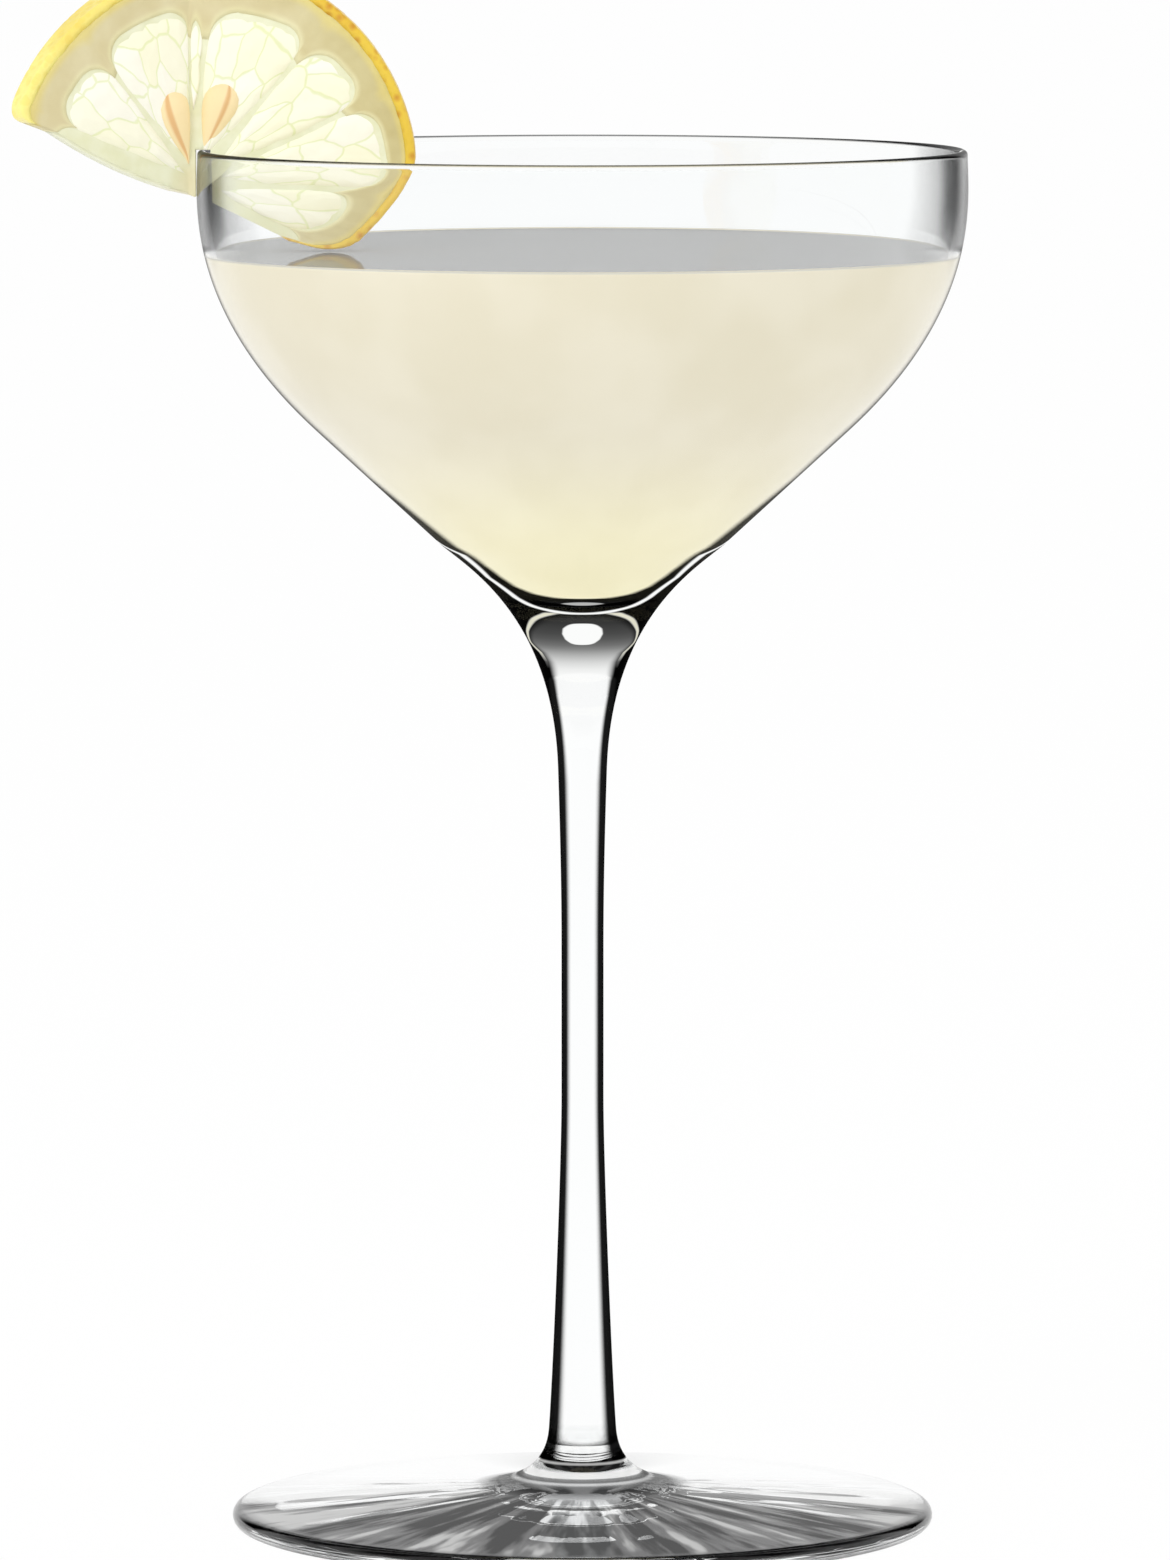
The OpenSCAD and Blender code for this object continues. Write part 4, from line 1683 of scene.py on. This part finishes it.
@dataclass
class Lemon:
    """Half a lemon wheel, bent at its core, with a slit that sits on the rim."""

    outline: Outline
    pattern: LemonPattern = field(default_factory=LemonPattern)
    rind: Rind = field(default_factory=Rind)
    centre_drop: float = 4.2
    slit_gap: float = 0.2
    fold_a: float = 32.0
    # Where the bend starts and ends, in flat coordinates, and its steps
    bend_start: float = 0.45
    bend_end: float = -2.1
    bend_steps: int = 60
    # Thickness at the left end as a share, since the slice was cut uneven, and where it starts to thin
    thin_share: float = 0.62
    thin_from: float = -4.0
    # How far the tool that cuts the slit reaches to each side, and the smallest feature that it may leave
    cutter_y: float = 9.0
    crumb: float = 0.001
    # How far the membranes lie behind the cut face, and the juice sacs stand before it
    sunk: float = 0.18
    proud: float = 0.16
    # Height and size of the membranes' and the sacs' lumps
    skin_lump: Point = (0.07, 1.6)
    sac_lump: Point = (0.1, 1.7)
    # How far the sacs' edges dip under the membranes, and how flat a sac's top is
    sac_dip: float = 0.12
    sac_power: int = 7
    # Where the rays that fill a segment start, as a share of its least radius, low enough to see round both
    # of its shoulders
    ray_share: float = 0.7
    skin_rings: int = 44
    sac_rings: int = 40
    cut_points: int = 24
    # Width and thickness of a seed, how far its middle lies behind the cut face, and its points: round it,
    # and between two of its shares
    seed_w: float = 4.4
    seed_t: float = 2.5
    seed_sunk: float = 0.25
    seed_turns: int = 36
    seed_splits: int = 4
    # Depth and width of a seed's crease, and the width of its painted shade, in radians
    crease_depth: float = 0.05
    crease_w: float = 0.22
    crease_shade_w: float = 0.3
    seeds: tuple[tuple[str, Seed], ...] = (
        ("left", Seed(2.4, 110.5, 9.6, 0.9)), ("right", Seed(4.7, 70.0, 8.2, -0.5)),
    )
    seed_shares: tuple[Point, ...] = (
        (0.0, 0.02), (0.04, 0.13), (0.1, 0.25), (0.22, 0.44), (0.36, 0.66), (0.5, 0.85), (0.63, 0.97),
        (0.74, 1.0), (0.84, 0.92), (0.92, 0.7), (0.97, 0.44), (0.99, 0.24), (1.0, 0.02),
    )

    def __post_init__(self) -> None:
        """Works out where the wheel's centre is, and the path of the bend."""
        self.x = -self.outline.rim_d / 2 - self.slit_gap - self.pattern.core_foot[0]
        self.z = self.outline.rim_z - self.centre_drop
        self.half = self.pattern.slice_t / 2
        self.path: list[Point3] = []
        self.step = (self.bend_start - self.bend_end) / self.bend_steps
        x, y = self.bend_start, 0.0
        for i in range(self.bend_steps + 1):
            turn = math.radians(self.fold_a) * smooth_step(i / self.bend_steps)
            self.path.append((x, y, turn))
            x -= self.step * math.cos(turn)
            y -= self.step * math.sin(turn)

    def bent(self, point: Point3) -> Point3:
        """Bends a flat point and puts it in its place on the rim.

        Args:
            point: x, depth and z in the flat wheel.

        Returns:
            The point in the shared frame, in millimetres.
        """
        x, depth, z = point
        front = -self.half
        thin = smooth_step((self.thin_from - x) / (self.pattern.lemon_r + self.thin_from))
        if depth > front:
            depth = front + (depth - front) * lerp(1.0, self.thin_share, thin)
        u = (self.bend_start - x) / self.step
        if u <= 0:
            return (x + self.x, depth, z + self.z)
        i = min(len(self.path) - 1, int(u))
        cx, cy, turn = self.path[i]
        if i + 1 < len(self.path):
            turn = lerp(turn, self.path[i + 1][2], u - i)
        rest = (u - i) * self.step
        cx -= rest * math.cos(turn)
        cy -= rest * math.sin(turn)
        return (cx - depth * math.sin(turn) + self.x, cy + depth * math.cos(turn), z + self.z)

    def finish(self, name: str, piece: FlatPiece, material: bpy.types.Material, slot: Slot, node: str,
               slit: bool = False, extra: tuple[str, Callable[[Point3], float]] | None = None) -> None:
        """Turns a flat piece to an object on the rim.

        Args:
            name: the object's name.
            piece: the flat piece.
            material: its material.
            slot: the record's slot; not used.
            node: the CAD node that it stands for.
            slit: whether the glass wall's slit is cut from it.
            extra: a further attribute's name, and the function that gives it from a flat point.
        """
        thing = make_object(name, piece.verts, piece.faces, [material])
        shape = bmesh.new()
        shape.from_mesh(thing.data)
        bmesh.ops.recalc_face_normals(shape, faces=shape.faces)
        shape.to_mesh(thing.data)
        shape.free()
        if slit:
            self.cut_slit(thing)
        mesh = thing.data
        flat = [tuple(c / MM for c in v.co) for v in mesh.vertices]
        place = mesh.attributes.new("wheel_place", "FLOAT_VECTOR", "POINT")
        place.data.foreach_set("vector", [c for x, depth, z in flat for c in (x, z, depth)])
        if extra:
            values = mesh.attributes.new(extra[0], "FLOAT", "POINT")
            values.data.foreach_set("value", [extra[1](p) for p in flat])
        mesh.vertices.foreach_set("co", [c * MM for p in flat for c in self.bent(p)])
        mesh.update()
        settle(thing, Body.LEMON, node)

    def cut_slit(self, thing: bpy.types.Object) -> None:
        """Cuts the glass wall's slit from a flat object.

        Args:
            thing: the object.
        """
        p = self.pattern
        x0, x1 = p.core_foot[0] + p.slit_step, p.core_foot[0] + p.slit_w
        verts = [(x, y, z) for x in (x0, x1) for y in (-self.cutter_y, self.cutter_y)
                 for z in (-p.lemon_r, p.slit_top)]
        faces = [(0, 1, 3, 2), (4, 6, 7, 5), (0, 4, 5, 1), (2, 3, 7, 6), (0, 2, 6, 4), (1, 5, 7, 3)]
        cutter = make_object("slit_cutter", verts, faces, [])
        tool = thing.modifiers.new("slit", "BOOLEAN")
        tool.operation = "DIFFERENCE"
        tool.object = cutter
        tool.solver = "EXACT"
        graph = bpy.context.evaluated_depsgraph_get()
        old = thing.data
        thing.data = bpy.data.meshes.new_from_object(thing.evaluated_get(graph))
        thing.modifiers.clear()
        bpy.data.meshes.remove(old)
        bpy.data.objects.remove(cutter)
        self.sweep_up(thing.data)

    def sweep_up(self, mesh: bpy.types.Mesh) -> None:
        """Joins points that a cut left almost touching, and drops crumbs that aren't part of the piece.

        Args:
            mesh: the cut mesh.
        """
        shape = bmesh.new()
        shape.from_mesh(mesh)
        bmesh.ops.remove_doubles(shape, verts=shape.verts, dist=self.crumb * MM)
        bmesh.ops.dissolve_degenerate(shape, edges=shape.edges, dist=self.crumb * MM)
        parts: list[list[bmesh.types.BMVert]] = []
        left = set(shape.verts)
        while left:
            part, todo = [], [left.pop()]
            while todo:
                vert = todo.pop()
                part.append(vert)
                near = [edge.other_vert(vert) for edge in vert.link_edges]
                fresh = [other for other in near if other in left]
                left.difference_update(fresh)
                todo += dict.fromkeys(fresh)
            parts.append(part)
        parts.sort(key=len)
        for part in parts[:-1]:
            bmesh.ops.delete(shape, geom=part, context="VERTS")
        shape.to_mesh(mesh)
        shape.free()

    def build(self) -> None:
        """Makes the rind, the membranes, the segments and the seeds."""
        self.build_rind()
        self.build_membranes()
        pulp = LemonPulp().material()
        for i, seg in enumerate(self.pattern.segments, 1):
            self.build_segment(i, seg, pulp)
        husk = SeedHusk().material()
        for side, seed in self.seeds:
            self.build_seed(side, seed, husk)

    def build_rind(self) -> None:
        """Makes the zest, pitted like real zest, and the pith with its wavy inner edge."""
        p, rind = self.pattern, self.rind
        zest, pith = [], []
        for angle in p.angles():
            r = p.wheel_r(angle)
            r_in = rind.zest_line(r - p.zest_t, angle)
            inner, outer = p.skin_r(angle) - rind.skin_lap, r_in + rind.zest_lap
            for loops, section in ((zest, rind.zest(r_in, r, self.half, angle)),
                                   (pith, rind.pith(inner, outer, self.half, angle))):
                loops.append([(x, depth, z) for c, depth in section for x, z in [polar(c, angle)]])
        self.finish("zest_band", FlatPiece.sweep(zest), LemonZest().material(), Slot.ZEST, "lemon_zest")
        self.finish("pith_band", FlatPiece.sweep(pith), LemonPith().material(), Slot.PITH, "lemon_pith",
                    extra=("pith_span", self.pith_span))

    def pith_span(self, point: Point3) -> float:
        """How far a flat point lies on the way across the pith, 0 at the zest and 1 at the segments.

        Args:
            point: x, depth and z in the flat wheel.

        Returns:
            The share of the way.
        """
        angle = math.degrees(math.atan2(point[2], point[0]))
        outer = self.pattern.wheel_r(angle) - self.pattern.zest_t
        width = max(0.1, outer - self.pattern.skin_r(angle))
        return min(1.0, max(0.0, (outer - math.hypot(point[0], point[2])) / width))

    def lump(self, size: Point, x: float, z: float, layer: float) -> float:
        """An uneven surface's height at a flat place, from its height and size in millimetres."""
        return size[0] * noise.noise(Vector((x / size[1], z / size[1], layer)))

    def build_membranes(self) -> None:
        """Makes the core and the skins as one plate that the juice sacs fill."""
        p = self.pattern
        rim = [polar(p.skin_r(a), a) for a in p.angles()] + p.left_cut(self.cut_points)[:-1]
        deep = self.half - self.sunk
        piece = FlatPiece.fan(p.core_foot, rim, False, self.skin_rings,
                              lambda t, x, z: self.lump(self.skin_lump, x, z, 3.0) - deep,
                              lambda t, x, z: self.lump(self.skin_lump, x, z, 3.0) + deep)
        self.finish("membranes_and_core", piece, LemonMembrane().material(), Slot.MEMBRANE, "lemon_membrane",
                    slit=True)

    def build_segment(self, index: int, seg: Segment, material: bpy.types.Material) -> None:
        """Makes one segment, its juice sacs swelling over the membranes' edges.

        Args:
            index: the segment's number, from the left.
            seg: the segment.
            material: the pulp.
        """
        p = self.pattern
        rim = p.segment_outline(seg)
        centre = polar(self.ray_share * min(p.skin_r(seg.first), p.skin_r(seg.last)), seg.middle)
        low = self.half - self.sunk - self.sac_dip
        rise = low - self.half - self.proud

        def front(t: float, x: float, z: float) -> float:
            """The front's depth, swelling from the outline inward."""
            swell = 1 - t**self.sac_power
            return -low + (rise + self.lump(self.sac_lump, x, z, 5.0 + index)) * swell

        piece = FlatPiece.fan(centre, rim, True, self.sac_rings, front, lambda t, x, z: -front(t, x, z))
        slit = any(p.core_foot[0] < x < p.core_foot[0] + p.slit_w and z < p.slit_top for x, z in rim)
        self.finish(f"juice_sacs_{index}", piece, material, Slot.PULP, f"segment_{index}", slit=slit)

    def build_seed(self, side: str, seed: Seed, material: bpy.types.Material) -> None:
        """Makes a teardrop seed, its point toward the core.

        Args:
            side: the half of the wheel that it lies in.
            seed: its place.
            material: the husk.
        """
        way, wide_way = polar(1.0, seed.angle), polar(1.0, seed.angle + 90)
        middle = self.seed_sunk - self.half
        shares: list[Point] = []
        for a, b in zip(self.seed_shares, self.seed_shares[1:]):
            shares += [between(a, b, k / self.seed_splits) for k in range(self.seed_splits)]
        loops = []
        for reach, wide in shares + [self.seed_shares[-1]]:
            loop = []
            for k in range(self.seed_turns):
                turn = 2 * math.pi * k / self.seed_turns
                gap = math.remainder(turn - seed.crease, 2 * math.pi)
                share = wide * (1 - self.crease_depth * bell(gap, self.crease_w))
                spot = along((0.0, 0.0), way, seed.start + reach * seed.length)
                x, z = along(spot, wide_way, share * self.seed_w / 2 * math.sin(turn))
                loop.append((x, middle - share * self.seed_t / 2 * math.cos(turn), z))
            loops.append(loop)

        def creased(point: Point3) -> float:
            """How near a flat point is to the crease, from 0 to 1.

            Args:
                point: x, depth and z in the flat wheel.

            Returns:
                The nearness.
            """
            across = point[0] * wide_way[0] + point[2] * wide_way[1]
            turn = math.atan2(across, middle - point[1])
            return bell(math.remainder(turn - seed.crease, 2 * math.pi), self.crease_shade_w)

        self.finish(f"{side}_seed", FlatPiece.sweep(loops), material, Slot.SEED, f"seed_{side}",
                    extra=("seed_crease", creased))


@dataclass
class Studio:
    """A white table in a white surround, one large soft lamp, and the camera; lengths in metres."""

    table_r: float = 30.0
    table_drop: float = 0.00002
    table_code: str = "#f2f2f2"
    # The share of plain white in what the camera sees of the table, so that it keeps a faint shadow
    table_white: float = 0.9
    # The room's level on matt surfaces
    fill: float = 1.02
    key_w: float = 5.0
    key_size: float = 0.7
    key_at: Point3 = (-0.75, -1.0, 1.3)
    key_aim: Point3 = (0.0, 0.0, 0.12)
    # Sines of elevation between which the room seen in the glass falls from white to the dark ceiling
    bright_top: float = 0.30
    dark_from: float = 0.62
    ceiling_dark: str = "#3c3d3f"
    ceiling_light: str = "#dededf"
    # How many light panels the ceiling has round the glass, and where their edges start and end
    panels: float = 9.0
    panel_edge: Point = (-0.4, 0.8)
    # Two dark cards that draw the glass's edges: their distance, lower and upper edge, and angles from the
    # camera's line of sight, behind the glass
    card_r: float = 0.62
    card_foot: float = 0.0005
    card_h: float = 0.5
    card_from: float = 20.0
    card_full: float = 36.0
    card_fade: float = 43.0
    card_to: float = 52.0
    # Heights between which the cards turn from the table's white to full dark
    card_low: float = 0.04
    card_clear: float = 0.095
    card_code: str = "#050505"
    card_steps: int = 12
    camera_at: Point3 = (0.0003, -1.4095, 0.2227)
    camera_dip: float = 5.3695
    lens: float = 271.66

    def build(self) -> None:
        """Makes the table, the room's light, the lamp and the camera."""
        self.build_table()
        self.build_room()
        self.build_lamp()
        self.build_cards()
        self.build_camera()

    def build_table(self) -> None:
        """Makes a white table that keeps a faint shadow."""
        steps = 96
        rim = [polar(self.table_r / MM, 360 * i / steps) for i in range(steps)]
        faces = [(0, 1 + i, 1 + (i + 1) % steps) for i in range(steps)]
        finish = TableAcrylic("white_studio_acrylic", self.table_code, self.table_white)
        table = make_object("studio_table", [(0.0, 0.0, 0.0)] + [(x, y, 0.0) for x, y in rim], faces,
                            [finish.material()])
        table.location.z = -self.table_drop

    def build_room(self) -> None:
        """Gives matt surfaces an even light, the camera white, and the glass a room to show."""
        world = bpy.data.worlds.new("white_room")
        world.use_nodes = True
        n = Nodes(world.node_tree)
        x, y, height = n.parts(n.add("TexCoord", output="Generated"))
        wave = n.calc("SINE", n.calc("MULTIPLY", n.calc("ARCTAN2", y, x), self.panels))
        ceiling = n.mixed(n.remap(wave, *self.panel_edge, smooth=True), self.ceiling_dark, self.ceiling_light)
        room = n.mixed(n.remap(height, self.bright_top, self.dark_from, smooth=True), WHITE, ceiling)
        seen = n.calc("MAXIMUM", n.path("Is Glossy Ray"), n.path("Is Transmission Ray"))
        level = n.mixed(n.path("Is Camera Ray"), (self.fill,) * 3 + (1.0,), WHITE)
        n.end("OutputWorld", n.add("Background", {"Color": n.mixed(seen, level, room), "Strength": 1.0}))
        bpy.context.scene.world = world

    def build_lamp(self) -> None:
        """Hangs one soft square lamp high at the front left."""
        data = bpy.data.lights.new("softbox", "AREA")
        data.shape = "SQUARE"
        data.size = self.key_size
        data.energy = self.key_w
        lamp = bpy.data.objects.new("softbox", data)
        lamp.location = self.key_at
        aim = Vector(self.key_aim) - Vector(self.key_at)
        lamp.rotation_euler = aim.to_track_quat("-Z", "Y").to_euler()
        lamp.visible_glossy = False
        lamp.visible_transmission = False
        lamp.visible_camera = False
        bpy.context.scene.collection.objects.link(lamp)

    def build_cards(self) -> None:
        """Stands dark cards beside the glass, which only glass and gloss can see."""
        material = GraduatedCard(
            "graduated_card", self.card_code, (self.card_from, self.card_full),
            (self.card_fade, self.card_to), (self.card_low, self.card_clear)).material()
        for name, way in (("card_back_right", -1), ("card_back_left", 1)):
            verts: list[Point3] = []
            for i in range(self.card_steps + 1):
                turn = lerp(self.card_from, self.card_to, i / self.card_steps)
                x, y = polar(self.card_r / MM, 90 + way * turn)
                verts += [(x, y, self.card_foot / MM), (x, y, self.card_h / MM)]
            faces = [(2 * i, 2 * i + 2, 2 * i + 3, 2 * i + 1) for i in range(self.card_steps)]
            card = make_object(name, verts, faces, [material])
            card.visible_camera = False
            card.visible_diffuse = False
            card.visible_shadow = False

    def build_camera(self) -> None:
        """Stands the camera where the photo's was."""
        data = bpy.data.cameras.new("photo_camera")
        data.lens = self.lens
        data.sensor_width = 36.0
        data.clip_end = 100.0
        camera = bpy.data.objects.new("photo_camera", data)
        camera.location = self.camera_at
        camera.rotation_euler = (math.radians(90 - self.camera_dip), 0.0, 0.0)
        scene = bpy.context.scene
        scene.collection.objects.link(camera)
        scene.camera = camera
        scene.view_settings.view_transform = "Standard"


def main() -> None:
    """Builds every piece, then the studio."""
    logging.basicConfig(level=logging.INFO, format="%(message)s")
    outline = Outline()
    Glass(outline).build()
    Drink(outline).build()
    Lemon(outline).build()
    Studio().build()


if __name__ == "__main__":
    main()
